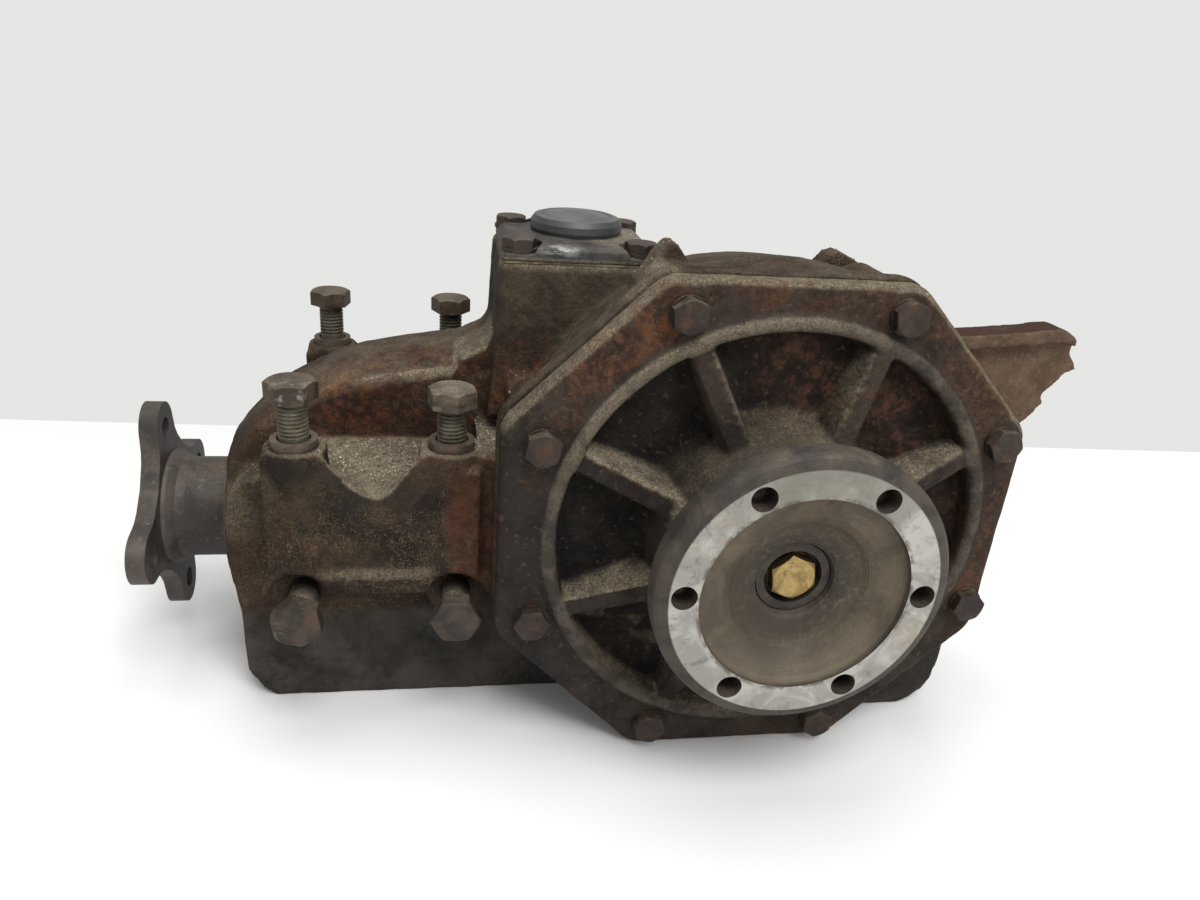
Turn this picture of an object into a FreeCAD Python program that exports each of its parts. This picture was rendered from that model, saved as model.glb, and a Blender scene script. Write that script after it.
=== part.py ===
import FreeCAD, Part
import os
import math
from FreeCAD import Placement, Rotation, Vector

# Angle-drive gearbox: hypoid final drive with a differential, two flanged
# outputs and a four-arm flanged input.  Millimetres, +Z up.
#
# The geometry is written about the pinion plane: output axis along Y through
# x=0, z=0; pinion axis along X at y=0, z=PINION_Z, with the input at -X.  The
# near side is -Y, the far side +Y.  save() moves every piece by +FLANGE_Y, so
# the origin of the part is the centre of the near drive flange's face.

os.makedirs("parts", exist_ok=True)

X = Vector(1, 0, 0)
Y = Vector(0, 1, 0)
Z = Vector(0, 0, 1)
ORIGIN = Vector(0, 0, 0)

# --- driving dimensions ----------------------------------------------------
FLANGE_Y = 145.5            # drive-flange face to pinion plane
HYPOID_OFFSET = 36.5        # pinion axis below the output axis
PINION_Z = -HYPOID_OFFSET
BASE_Z = -109.0             # underside the case stands on

# octagonal cover joint: distance of each flat from the output axis, clockwise
# from the top as seen from the near side
OCT_FLATS = [107.4, 109.8, 107.0, 110.2, 109.0, 111.6, 112.2, 113.4]
OCT_CORNER_R = 13.0
COVER_BOLT_R = 104.5        # radius of the circle of cover screws
COVER_BOLT_ANGLES = [23.2, 65.2, 109.4, 158.6, 203.6, 248.6, 293.0, 334.4]
COVER_FACE_Y = -99.5
COVER_SEAT_Y = COVER_FACE_Y - 0.6   # seat of the cover screws
COVER_BACK_Y = -90.0
HOUSING_FACE_Y = -89.0
JOINT_BACK_Y = -79.0        # back of the housing's joint flange

PILLAR_X = (-192.4, -130.0)         # vertical mounting pillars
PILLAR_Y = 68.0
PILLAR_TOP_Z = 27.4
PILLAR_R = 12.5
SIDE_BOLT_X = (-193.2, -127.8)      # horizontal screws under the pillars
SIDE_BOLT_Z = -46.5
SLEEVE_Z = 12.0             # bottom of the pillar sleeves

COLLAR_X = -230.0           # outer end of the pinion seal collar
COLLAR_R = 41.5
PINION_SEAL_X = -231.0      # outer faces of the three oil seals
NEAR_SEAL_Y = -117.5
FAR_SEAL_Y = 118.0
SEAL_BORE_R = 36.0
PASSAGE_R = 33.0            # clear bores between bearings and seals
NECK_R = 24.0               # input flange neck
HUB_R = 25.0                # drive flange neck

TOWER_X, TOWER_Y = -77.2, -8.3
TOWER_TOP_Z = 97.3
TOWER_GASKET_T = 0.8
PLATE_T = 7.8               # tower top to cover plate top
PAD_Z = 101.2               # seat of the tower screws
TOWER_HOLE_X = TOWER_X + 1.5        # round hole in the tower cover
TOWER_RIM_Z = TOWER_TOP_Z + PLATE_T + 0.6
# directions of the tower screws from the tower centre, and their places
TOWER_CORNERS = [(-1, -1), (1, -1), (1, 1), (-1, 1)]
TOWER_BOLTS = [(TOWER_X + (26.6 if sx > 0 else -25.6), TOWER_Y + 25.4 * sy)
               for sx, sy in TOWER_CORNERS]

PLUG_ANGLES = {"filler_plug": -19, "drain_plug": -42}   # degrees from +X to +Z
PLUG_Y = -12.0
PLUG_ROOT_R = 84.0          # the plug bosses run between these radii
PLUG_FACE_R = 110.5

# bearings: overall, cone and cup widths; roller radii at the wide and narrow
# ends, half length of a roller, and angle of its axis in degrees
CARRIER_BEARING = dict(bore=40.0, outside=80.0, width=19.75, cone=18.0, cup=16.0,
                       rollers=15, wide=4.9, narrow=4.35, half=5.8, angle=13.0)
REAR_BEARING = dict(bore=35.0, outside=80.0, width=22.75, cone=21.0, cup=17.0,
                    rollers=13, wide=5.6, narrow=4.9, half=6.6, angle=14.0)
FRONT_BEARING = dict(bore=30.0, outside=72.0, width=20.75, cone=19.0, cup=16.0,
                     rollers=13, wide=4.9, narrow=4.3, half=6.0, angle=13.0)
ROLLER_PLAY = 0.03
SHIM_T = 0.8
# shoulders behind the cups; the rear pinion bearing is the one at the head
NEAR_SHOULDER_Y = -97.75
FAR_SHOULDER_Y = 58.25
REAR_SHOULDER_X = -121.75
FRONT_SHOULDER_X = -192.25
# wide back faces of the cones
NEAR_CONE_Y = NEAR_SHOULDER_Y + SHIM_T + CARRIER_BEARING["width"]
FAR_CONE_Y = FAR_SHOULDER_Y - SHIM_T - CARRIER_BEARING["width"]
REAR_CONE_X = REAR_SHOULDER_X + SHIM_T + REAR_BEARING["width"]
FRONT_CONE_X = FRONT_SHOULDER_X - FRONT_BEARING["width"]
CARRIER_CUP_R = CARRIER_BEARING["outside"] / 2
REAR_CUP_R = REAR_BEARING["outside"] / 2
FRONT_CUP_R = FRONT_BEARING["outside"] / 2

RING_BACK_Y = -45.0         # back face of the crown wheel
RING_BOLTS = 10
RING_BOLT_R = 70.0
DIFF_Y = -8.0               # differential centre
STUB_TIP_Y = 121.5          # outer ends of the side gears' stub shafts
LOCK_PIN_Z = 38.8
LOCK_PIN_BORE_R = 3.02


# --- helpers ---------------------------------------------------------------
def cylinder(radius, start, direction, length):
    return Part.makeCylinder(radius, length, Vector(*start), Vector(direction))


def along_x(radius, x, length):
    """Cylinder on the pinion axis, running +X from x."""
    return cylinder(radius, (x, 0, PINION_Z), X, length)


def along_y(radius, y, length):
    """Cylinder on the output axis, running +Y from y."""
    return cylinder(radius, (0, y, 0), Y, length)


def cone(radius1, radius2, start, direction, length):
    return Part.makeCone(radius1, radius2, length, Vector(*start), Vector(direction))


def tube(outer, inner, start, direction, length):
    bore = cylinder(inner, Vector(*start) - Vector(direction), direction, length + 2.0)
    return cylinder(outer, start, direction, length).cut(bore)


def box(x_range, y_range, z_range):
    """Box between two limits on each axis, given in either order."""
    ranges = (x_range, y_range, z_range)
    low = [min(limits) for limits in ranges]
    size = [max(limits) - min(limits) for limits in ranges]
    return Part.makeBox(size[0], size[1], size[2], Vector(*low))


def loop(points):
    points = [Vector(*point) for point in points]
    return Part.makePolygon(points + [points[0]])


def face(points):
    return Part.Face(loop(points))


def slab_y(outline, y, thickness):
    """Outline of (x, z) points at y, extruded along +Y."""
    return face([(x, y, z) for x, z in outline]).extrude(Y * thickness)


def slab_x(outline, x, thickness):
    """Outline of (y, z) points at x, extruded along +X."""
    return face([(x, y, z) for y, z in outline]).extrude(X * thickness)


def turned_y(profile):
    """Solid of revolution about the output axis; profile (radius, y)."""
    return face([(r, y, 0) for r, y in profile]).revolve(ORIGIN, Y, 360)


def turned_x(profile):
    """Solid of revolution about the pinion axis; profile (x, radius)."""
    outline = [(x, 0, PINION_Z + r) for x, r in profile]
    return face(outline).revolve(Vector(0, 0, PINION_Z), X, 360)


def turned_z(profile, x=0.0, y=0.0):
    """Solid of revolution about a vertical line; profile (radius, z)."""
    return face([(x + r, y, z) for r, z in profile]).revolve(Vector(x, y, 0), Z, 360)


def loft(sections):
    """Ruled solid through closed polygons."""
    solid = Part.makeLoft([loop(section) for section in sections], True, True)
    if solid.Volume < 0:
        solid.reverse()
    return solid


def rotated(shape, axis, degrees, centre=ORIGIN):
    turned = shape.copy()
    turned.rotate(centre, axis, degrees)
    return turned


def polar(shape, axis, count, centre=ORIGIN):
    return [rotated(shape, axis, 360.0 * i / count, centre) for i in range(count)]


def clock_point(radius, degrees, y):
    """Point at an angle clockwise from +Z as seen from the near side."""
    angle = math.radians(degrees)
    return (radius * math.sin(angle), y, radius * math.cos(angle))


def largest(shape):
    return max(shape.Solids, key=lambda solid: solid.Volume)


def hexagon(across_flats, start, direction, height, turn=0.0):
    """Hexagonal prism with a 30-degree chamfered rim at its far end."""
    direction = Vector(direction)
    direction.normalize()
    start = Vector(*start)
    across = direction.cross(Z if abs(direction.z) < 0.9 else X)
    across.normalize()
    up = across.cross(direction)
    radius = across_flats / math.sqrt(3)
    points = []
    for i in range(6):
        angle = math.radians(60 * i + turn)
        points.append(start + up * (radius * math.cos(angle)) + across * (radius * math.sin(angle)))
    prism = face(points).extrude(direction * height)
    chamfer = 0.16 * radius / math.tan(math.radians(60))
    barrel = cylinder(radius + 0.01, start, direction, height - chamfer)
    rim = cone(radius + 0.01, radius * 0.84, start + direction * (height - chamfer),
               direction, chamfer)
    return prism.common(barrel.fuse(rim))


def screw(radius, seat, direction, length, across_flats, head, turn=0.0, collar=0.0,
          pitch=0.0):
    """Hexagon screw.  seat is the underside of the head, direction points to
    the tip.  collar is the radius of a disc under the head; a pitch cuts
    annular thread grooves near the head."""
    thread_start, thread_end = 2.0, 17.0
    tip = 1.2
    direction = Vector(direction)
    direction.normalize()
    seat = Vector(*seat)
    shank = cylinder(radius, seat - direction * 0.01, direction, length - tip + 0.01).fuse(
        cone(radius, radius - 1.0, seat + direction * (length - tip), direction, tip))
    solid = hexagon(across_flats, seat, direction * -1, head, turn).fuse(shank)
    if collar:
        solid = solid.fuse(cylinder(collar, seat, direction * -1, 1.4))
    solid = solid.removeSplitter()
    if pitch:
        grooves = []
        root = radius - 0.54 * pitch
        flank = pitch * 0.36
        along = thread_start
        while along + pitch <= thread_end:
            start = seat + direction * along
            core = cone(radius, root, start, direction, flank).fuse(
                cone(root, radius, start + direction * flank, direction, flank))
            grooves.append(cylinder(radius + 1, start, direction, pitch * 0.72).cut(core))
            along += pitch
        solid = solid.cut(Part.makeCompound(grooves))
    return solid


def octagon(near_y, far_y, offset=0.0, rim=0.0):
    """Octagonal plate with rounded corners; offset moves every flat outwards,
    rim is the fillet radius around the near face."""
    points = []
    for i in range(8):
        a0, a1 = math.radians(45 * i), math.radians(45 * (i + 1))
        d0, d1 = OCT_FLATS[i] + offset, OCT_FLATS[(i + 1) % 8] + offset
        det = math.sin(a0) * math.cos(a1) - math.cos(a0) * math.sin(a1)
        points.append(((d0 * math.cos(a1) - d1 * math.cos(a0)) / det,
                       (math.sin(a0) * d1 - math.sin(a1) * d0) / det))
    plate = slab_y(points, near_y, far_y - near_y)
    corners = [e for e in plate.Edges if abs(e.tangentAt(e.FirstParameter).y) > 0.9]
    plate = plate.makeFillet(OCT_CORNER_R, corners)
    if rim:
        edges = [e for e in plate.Edges if abs(e.BoundBox.YMax - near_y) < 1e-3
                 and abs(e.BoundBox.YMin - near_y) < 1e-3]
        plate = plate.makeFillet(rim, edges)
    return plate


def cover_holes(radius, y, length):
    return [cylinder(radius, clock_point(COVER_BOLT_R, a, y), Y, length)
            for a in COVER_BOLT_ANGLES]


def tower_holes(radius, z, length):
    return [cylinder(radius, (x, y, z), Z, length) for x, y in TOWER_BOLTS]


def ring_holes(radius, y, length):
    return [cylinder(radius, clock_point(RING_BOLT_R, 360 // RING_BOLTS * i, y), Y, length)
            for i in range(RING_BOLTS)]


def tower_rect(left, right, half_depth, z):
    """Horizontal rectangle; left and right are x limits from the tower centre."""
    x0, x1 = TOWER_X + left, TOWER_X + right
    y0, y1 = TOWER_Y - half_depth, TOWER_Y + half_depth
    return [(x0, y0, z), (x1, y0, z), (x1, y1, z), (x0, y1, z)]


def tower_box(half_width, half_depth, z0, z1):
    return box((TOWER_X - half_width, TOWER_X + half_width),
               (TOWER_Y - half_depth, TOWER_Y + half_depth), (z0, z1))


def plug_axis(name):
    angle = math.radians(PLUG_ANGLES[name])
    return Vector(math.cos(angle), 0, math.sin(angle))


def plug_point(axis, radius):
    return axis * radius + Vector(0, PLUG_Y, 0)


def plug_cylinders(radius, length):
    return [cylinder(radius, plug_point(axis, PLUG_ROOT_R), axis, length)
            for axis in map(plug_axis, PLUG_ANGLES)]


def pinion_splines(x0, x1, clearance=0.0):
    half = 1.7 + clearance
    key = box((x0, x1), (-half, half), (PINION_Z + 10.0, PINION_Z + 14.4 + clearance))
    return polar(key, X, 12, Vector(0, 0, PINION_Z))


def output_splines(y0, y1, clearance=0.0):
    half = 1.45 + clearance
    key = box((-half, half), (y0, y1), (9.0, 13.8 + clearance))
    return polar(key, Y, 14)


def save(name, shape):
    """Move the shape to the part's origin and write its solids."""
    shape = shape.copy()
    shape.translate(Vector(0, FLANGE_Y, 0))
    solids = shape.Solids
    piece = solids[0] if len(solids) == 1 else Part.makeCompound(solids)
    piece.exportStep("parts/%s.step" % name)


# ===========================================================================
# 1  Main housing (one iron casting)
# ===========================================================================
# drum around the crown wheel, doming down to the far output neck: (radius, y)
DRUM = [(0, JOINT_BACK_Y - 1), (108.4, JOINT_BACK_Y - 1), (109.6, -62), (105.5, -40),
        (102.5, -22), (97, 2), (87, 20), (74, 34), (62, 44), (55, 54), (51, 70), (49, 100),
        (50.5, 104), (50.5, 117), (48.5, 119), (0, 119)]
# lugs on top of the drum and the foot at its lower +X side: (x, z)
LEFT_LUG = [(-58, 90), (-53.5, 99), (-48, 108.5), (-44.5, 112), (-41.0, 111.5), (-37, 106.5),
            (-31, 100), (-31, 90)]
RIGHT_LUG = [(26, 90), (32, 99), (36.5, 104.8), (41, 106.0), (46, 104.0), (54, 99.5),
             (64, 92), (64, 84)]
FOOT = [(48, -109.5), (92, -109.5), (99, -106.5), (104.5, -101.5), (108, -94.5),
        (109.3, -84), (109.8, -68), (104, -52), (48, -52)]
DOME_RIB = [(6, 46), (100, 46), (100, 52), (62, 59), (24, 91), (8, 96)]     # (y, z)
DOME_RIB_ANGLES = (30, 75, 135, 180, 225, 330)
DOME_RIB_T = 7.0

# crowned hood over the pinion shaft: (x, crown z, half width)
HOOD = [(-229, 5.0, 30), (-224, 10.5, 31), (-217, 19.0, 31), (-206, 27.5, 31),
        (-195, 33.5, 31), (-186, 38.5, 31), (-172, 43.3, 31), (-154, 47.0, 31),
        (-135, 50.0, 31.5), (-112, 53.0, 34), (-80, 56.0, 38), (-40, 58, 40)]
# deep box under the nose: (x, z)
SKIRT = [(-60, BASE_Z), (-211.4, BASE_Z), (-216, -104.5), (-222.0, -95), (-223.0, -60),
         (-225.5, -42), (-226.0, -18), (-223.5, -4), (-216, 3.5), (-206, 6), (-60, 6)]
SKIRT_HALF = 54.5
# collar about the pinion axis: (x, radius)
COLLAR = [(-150, 0), (-150, 46), (-214, 46), (-222, 44.5), (-228.5, COLLAR_R),
          (COLLAR_X, COLLAR_R - 1.5), (COLLAR_X, 0)]

# top edge of the notched side wall at three distances from y=0: (y, [(x, z)])
WALL_BOTTOM_Z = -37
WALL_Y = 76.5
NOTCH = [
    (WALL_Y, [(-181.2, 26.0), (-176.2, 19.2), (-170.8, 12.4), (-165.0, 7.6),
              (-158.8, 6.6), (-153.8, 10.2), (-148.6, 18.0), (-142.9, 25.6)]),
    (66.0, [(-182.4, 17.0), (-176.4, 12.2), (-170.8, 9.6), (-165.0, 8.2),
            (-158.8, 7.8), (-153.8, 8.8), (-148.2, 12.0), (-141.6, 17.0)]),
    (54.0, [(-184.0, 12.5), (-176.8, 11.2), (-171.0, 10.4), (-165.0, 10.0),
            (-158.8, 9.8), (-153.8, 10.0), (-148.0, 10.8), (-140.0, 12.5)])]
# sections along the side wall, y taken towards either side: (y, z)
TROUGH = [(28, WALL_BOTTOM_Z), (28, 13.0), (56, 9.9), (58, 9.9), (58, WALL_BOTTOM_Z)]
WALL_LIP = [(50, -34), (76, -27), (79.5, -30), (79.5, -37), (76, -39.5), (50, -43)]
PILASTER_CAP = [(80.3, 19.5), (60, 25.5), (60, 10), (80.3, 10)]
PILASTER_X = (-134.0, -118.2)

# tower above the nose: (left, right, half depth, z)
TOWER = [(-37.5, 37, 38.5, 30), (-34.6, 34.5, 35.6, 60), (-32.8, 32.8, 33.8, TOWER_TOP_Z)]
# fillet wedges at the tower's foot: (x, z) and (y, z) from the tower centre
HOOD_WEDGE = [(-34, 40), (-34, 66), (-38, 58), (-50, 52), (-50, 40)]
NEAR_WEDGE = [(-30, 20), (-30, 60), (-42, 46), (-52, 22), (-52, 20)]

# broken mounting arm towards +X, with a jagged end: (x, z)
ARM_WEB = [(70, 68), (105.8, 69.5), (123, 70.4), (140, 72.4), (158.2, 74.2), (162.5, 72.6),
           (168.4, 69.6), (170.8, 65.0), (170.2, 61.6), (173.8, 57.4), (176.2, 53.2),
           (170.6, 50.8), (166.4, 45.2), (162.6, 41.8), (161.2, 38.0), (163.2, 35.6),
           (160.0, 31.2), (157.6, 27.0), (152.4, 22.6), (149.8, 19.6), (147.0, 13.0),
           (138, 6), (120, -5), (95, -15), (70, -15)]
ARM_TOP = [(70, 62), (70, 68.6), (105.8, 70.2), (123, 71.2), (140, 73.0), (158.2, 75.2),
           (162.8, 73.6), (168.0, 70.6), (169.0, 66.2), (163.0, 67.6), (150, 66.8),
           (123, 64.2), (100, 62.2)]
ARM_LOWER = [(80, -20), (118, -6), (123, -2), (118, -14), (95, -30), (80, -36)]

# crown-wheel chamber: (radius, y)
CHAMBER = [(0, -90), (98.5, -90), (98.5, -60), (97.2, -40), (94.5, -22), (89.5, -2),
           (80, 15), (67, 29), (56, 36), (51, 36), (51, 31), (0, 31)]
# space above the pinion tunnel: (x, z)
HOOD_CAVITY = [(-188, 20), (-188, 25), (-150, 36), (-112, 42), (-80, 45), (-60, 45),
               (-60, 12), (-110, 12)]


def drum_parts():
    parts = [turned_y(DRUM), octagon(HOUSING_FACE_Y, JOINT_BACK_Y, 0.8),
             slab_y(LEFT_LUG, -58, 13), slab_y(RIGHT_LUG, -31, 12)]
    # screw bosses behind the joint flange, set slightly inside the screw circle
    for angle in COVER_BOLT_ANGLES:
        radius = COVER_BOLT_R * 0.99
        parts.append(cylinder(11.0, clock_point(radius, angle, JOINT_BACK_Y - 1), Y, 29))
        parts.append(cone(11.0, 2.5, clock_point(radius, angle, JOINT_BACK_Y + 28), Y, 16))
    parts.append(slab_y(FOOT, -80, 24))
    rib = slab_x(DOME_RIB, -DOME_RIB_T / 2, DOME_RIB_T)
    return parts + [rotated(rib, Y, angle) for angle in DOME_RIB_ANGLES]


def nose_parts():
    sections = []
    for x, top, half in HOOD:
        sections.append([(x, -half - 2.0, -40), (x, -half, top - 8), (x, -half + 2.2, top - 3.4),
                         (x, -half * 0.62, top - 1.0), (x, 0, top), (x, half * 0.62, top - 1.0),
                         (x, half - 2.2, top - 3.4), (x, half, top - 8), (x, half + 2.0, -40)])
    return [loft(sections), slab_y(SKIRT, -SKIRT_HALF, 2 * SKIRT_HALF), turned_x(COLLAR)]


def side_block(side):
    """Side wall with its pillars; side is -1 for near, 1 for far."""
    def span(y0, y1):
        return (y0 * side, y1 * side)

    def wall_slab(outline, x, length):
        return slab_x([(y * side, z) for y, z in outline], x, length)

    sections = []
    for y, top in NOTCH:
        outline = top + [(top[-1][0], WALL_BOTTOM_Z), (top[0][0], WALL_BOTTOM_Z)]
        sections.append([(x, y * side, z) for x, z in outline])
    parts = [loft(sections)]
    for x_range, top in (((-205, -180.8), 24.0), ((-143.3, -92), 25.6)):
        parts.append(box(x_range, span(57, WALL_Y), (WALL_BOTTOM_Z, top)))
    parts.append(wall_slab(TROUGH, -204, 85))
    # shelf beside the drum
    parts.append(box((-119.5, -96), span(30, 60), (-20, 24.0)))
    parts.append(wall_slab(WALL_LIP, -204, 112))
    for x in PILLAR_X:
        y = PILLAR_Y * side
        shaft_r = PILLAR_R - 0.9
        chamfer_z = PILLAR_TOP_Z - 1.2
        parts.append(cylinder(shaft_r, (x, y, -40), Z, 60))
        parts.append(cone(shaft_r, PILLAR_R, (x, y, 14), Z, 6))
        parts.append(cylinder(PILLAR_R, (x, y, 19.5), Z, chamfer_z - 19.5))
        parts.append(cone(PILLAR_R, PILLAR_R - 1.5, (x, y, chamfer_z), Z, 1.2))
    # round bosses of the horizontal screws, each under an arch
    for x in SIDE_BOLT_X:
        parts.append(cylinder(13.5, (x, 40 * side, SIDE_BOLT_Z), Y * side, 22.0))
        arch = cylinder(15.2, (x, 58 * side, SIDE_BOLT_Z + 6.5), Y * side, 20.5)
        parts.append(arch.common(box((x - 20, x + 20), (-90, 90), (SIDE_BOLT_Z + 8.0, 0))))
    # flat-faced pilaster beside the drum-side pillar
    parts.append(box(PILASTER_X, span(60, 80.3), (-31.5, 19.5)))
    parts.append(wall_slab(PILASTER_CAP, PILASTER_X[0], PILASTER_X[1] - PILASTER_X[0]))
    # web that ties the pillars back to the drum
    parts.append(box((-119, -88), span(30, 72), (-38, 20)))
    return parts


def tower_parts():
    parts = [loft([tower_rect(*row) for row in TOWER])]
    # tapering screw columns at the corners
    for x, y in TOWER_BOLTS:
        parts.append(cone(10.6, 8.6, (x, y, 40), Z, TOWER_TOP_Z - 40))
    parts.append(slab_y([(TOWER_X + x, z) for x, z in HOOD_WEDGE], TOWER_Y - 24, 48))
    parts.append(slab_x([(TOWER_Y + y, z) for y, z in NEAR_WEDGE], TOWER_X - 30, 60))
    return parts


def arm_parts():
    root = box((78, 102), (-44, -18), (44, 63))
    return [slab_y(ARM_WEB, -31, 9), slab_y(ARM_TOP, -35.5, 15.5),
            slab_y(ARM_LOWER, -30, 16), root]


def housing_cavities():
    voids = [turned_y(CHAMBER)]
    # far output neck: bearing seat, oil space, seal seat
    voids += [along_y(CARRIER_CUP_R, 30, FAR_SHOULDER_Y - 30),
              along_y(PASSAGE_R, 57, 50),
              along_y(SEAL_BORE_R, 106, 14)]
    # pinion bores
    voids += [along_x(REAR_CUP_R, REAR_SHOULDER_X, 60),
              along_x(PASSAGE_R, -200, 154),
              along_x(FRONT_CUP_R, -222.0, FRONT_SHOULDER_X + 222.0),
              along_x(SEAL_BORE_R, PINION_SEAL_X, 10.0)]
    # tower shaft
    voids.append(loft([tower_rect(-23.5, 23.5, 15.5, z) for z in (20, 110)]))
    voids.append(tower_box(14, 24.5, 40, 110))
    # oil sump below the pinion tunnel, and the space above it
    voids.append(box((-212, -40), (-45, 45), (-99, PINION_Z - 46)))
    voids.append(slab_y(HOOD_CAVITY, -21, 42))
    for side in (-1, 1):
        for x in PILLAR_X:
            voids.append(cylinder(6.05, (x, PILLAR_Y * side, -22), Z, 60))
            voids.append(cylinder(9.35, (x, PILLAR_Y * side, SLEEVE_Z), Z, 30))
        # counterbores of the side screws, lengthened upwards, then their holes
        for x in SIDE_BOLT_X:
            for z in (SIDE_BOLT_Z, SIDE_BOLT_Z + 6.0):
                voids.append(cylinder(12.4, (x, 62 * side, z), Y * side, 30))
        for x in SIDE_BOLT_X:
            voids.append(cylinder(6.05, (x, 48 * side, SIDE_BOLT_Z), Y * side, 40))
    voids += cover_holes(4.05, -95, 26)
    voids += tower_holes(4.05, TOWER_TOP_Z - 12, 22)
    voids += plug_cylinders(11.05, 40)
    return voids[0].fuse(voids[1:])


def main_housing():
    parts = (drum_parts() + nose_parts() + side_block(-1) + side_block(1)
             + tower_parts() + arm_parts()
             + plug_cylinders(17.0, PLUG_FACE_R - PLUG_ROOT_R))
    housing = parts[0].fuse(parts[1:])
    # trim flat at the cover joint, the underside and the tower top
    housing = housing.common(box((-400, 400), (HOUSING_FACE_Y, 400), (BASE_Z, 400)))
    housing = housing.cut(box((TOWER_X - 36, TOWER_X + 36.5), (TOWER_Y - 37, TOWER_Y + 37),
                              (TOWER_TOP_Z, TOWER_TOP_Z + 30)))
    return largest(housing.cut(housing_cavities()).removeSplitter())


# ===========================================================================
# 2  Octagonal side cover
# ===========================================================================
# raised ring, floor, hub and spigot of the cover: (radius, y)
COVER_RING = [(88.0, COVER_BACK_Y), (88.6, -100.2), (90.4, -102.3), (93.2, -102.3),
              (95.6, -100.4), (96.8, -99.0), (96.8, COVER_BACK_Y)]
COVER_FLOOR = [(0, -91.5), (90, -91.5), (90, -84.5), (0, -84.5)]
COVER_HUB = [(0, -118.5), (44.5, -118.5), (47.0, -116.8), (48.8, -111), (52.0, -95),
             (56, -91), (56, -84.5), (53.5, -84.0), (52, -77.5), (0, -77.5)]
COVER_SPIGOT = [(88, -92), (98.1, -92), (98.1, -85.0), (88, -85.0)]


def side_cover():
    rim = octagon(COVER_FACE_Y, COVER_BACK_Y, 0.0, 3.4)
    rim = rim.cut(along_y(89.4, COVER_FACE_Y - 1, 40))
    parts = [turned_y(profile) for profile in (COVER_RING, COVER_FLOOR, COVER_HUB, COVER_SPIGOT)]
    # rib from the hub to the ring, narrower towards its near edge
    rib = loft([[(-7.4, -90, 45), (7.4, -90, 45), (4.6, -112.0, 45), (-4.6, -112.0, 45)],
                [(-6.6, -90, 91), (6.6, -90, 91), (4.2, -100.6, 91), (-4.2, -100.6, 91)]])
    pad_limit = octagon(-101, -90, -1.5)
    for angle in COVER_BOLT_ANGLES:
        parts.append(rotated(rib, Y, angle))
        pad = cylinder(9.6, clock_point(COVER_BOLT_R, angle, COVER_SEAT_Y), Y, 5)
        parts.append(pad.common(pad_limit))
    cover = rim.fuse(parts)
    # bearing seat, passage and seal seat
    cover = cover.cut([along_y(CARRIER_CUP_R, NEAR_SHOULDER_Y, 25),
                       along_y(PASSAGE_R, -107, 12), along_y(SEAL_BORE_R, -120, 14)])
    cover = cover.cut(cover_holes(4.5, -110, 30))
    return largest(cover.removeSplitter())


def side_cover_gasket():
    gasket = octagon(COVER_BACK_Y, HOUSING_FACE_Y, -0.9)
    gasket = gasket.cut(along_y(98.6, -95, 10))
    return gasket.cut(cover_holes(4.6, -95, 10))


def side_cover_bolts():
    return Part.makeCompound([
        screw(4.0, clock_point(COVER_BOLT_R, angle, COVER_SEAT_Y), Y, 27, 13.0, 5.6,
              turn=17 * i + 8, collar=7.4)
        for i, angle in enumerate(COVER_BOLT_ANGLES)])


# ===========================================================================
# 3  Tower cover, gasket, screws and rubber plug
# ===========================================================================
# plate outline: (half width, half depth, height above the tower top)
TOWER_PLATE = [(32.6, 33.6, TOWER_GASKET_T), (31.8, 32.8, 6.0), (29.6, 30.6, PLATE_T)]
# plug: (radius, height above the rim of the cover's hole)
TOWER_PLUG = [(0, -15), (12.5, -15), (13.6, -14), (15.7, -11.4), (14.9, -10.85), (14.9, 0),
              (19.8, 0), (20.4, 1.6), (20.2, 4.4), (18.6, 6.6), (16.2, 7.3), (14.9, 6.5),
              (13.4, 7.2), (8, 7.9), (0, 8.1)]


def tower_cover():
    plate = loft([tower_rect(-width, width, depth, TOWER_TOP_Z + z)
                  for width, depth, z in TOWER_PLATE])
    rim_start = TOWER_TOP_Z + 3
    plate = plate.fuse(cylinder(22.0, (TOWER_HOLE_X, TOWER_Y, rim_start), Z,
                                TOWER_RIM_Z - rim_start))
    # sunk seats for the four screws, open to the corners
    corners = [box((x, x + 14 * sx), (y, y + 14 * sy), (PAD_Z, PAD_Z + 12))
               for (x, y), (sx, sy) in zip(TOWER_BOLTS, TOWER_CORNERS)]
    plate = plate.cut(tower_holes(9.6, PAD_Z, 12) + corners)
    hole = cylinder(15.0, (TOWER_HOLE_X, TOWER_Y, TOWER_TOP_Z - 5), Z, 30)
    plate = plate.cut([hole] + tower_holes(4.5, TOWER_TOP_Z - 5, 40))
    return plate.removeSplitter()


def tower_cover_gasket():
    gasket = tower_box(32.2, 33.2, TOWER_TOP_Z, TOWER_TOP_Z + TOWER_GASKET_T)
    return gasket.cut([tower_box(23.5, 15.5, 90, 100), tower_box(14, 24.5, 90, 100)]
                      + tower_holes(4.6, 90, 20))


def tower_cover_bolts():
    return Part.makeCompound([
        screw(4.0, (x, y, PAD_Z), Z * -1, 15, 13.0, 5.6, turn=11 + 23 * i, collar=7.6)
        for i, (x, y) in enumerate(TOWER_BOLTS)])


def tower_plug():
    return turned_z([(r, TOWER_RIM_Z + z) for r, z in TOWER_PLUG], TOWER_HOLE_X, TOWER_Y)


# ===========================================================================
# 4  Mounting screws and sleeves of the nose
# ===========================================================================
MOUNT_PITCH = 1.75
PILLAR_SCREW_Z = 46.2       # head seat, before each screw's own lift
# index into PILLAR_X and SIDE_BOLT_X, side, lift of the vertical screw
MOUNTS = [(0, -1, 0.6), (1, -1, -1.6), (0, 1, 1.2), (1, 1, -0.4)]


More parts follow.
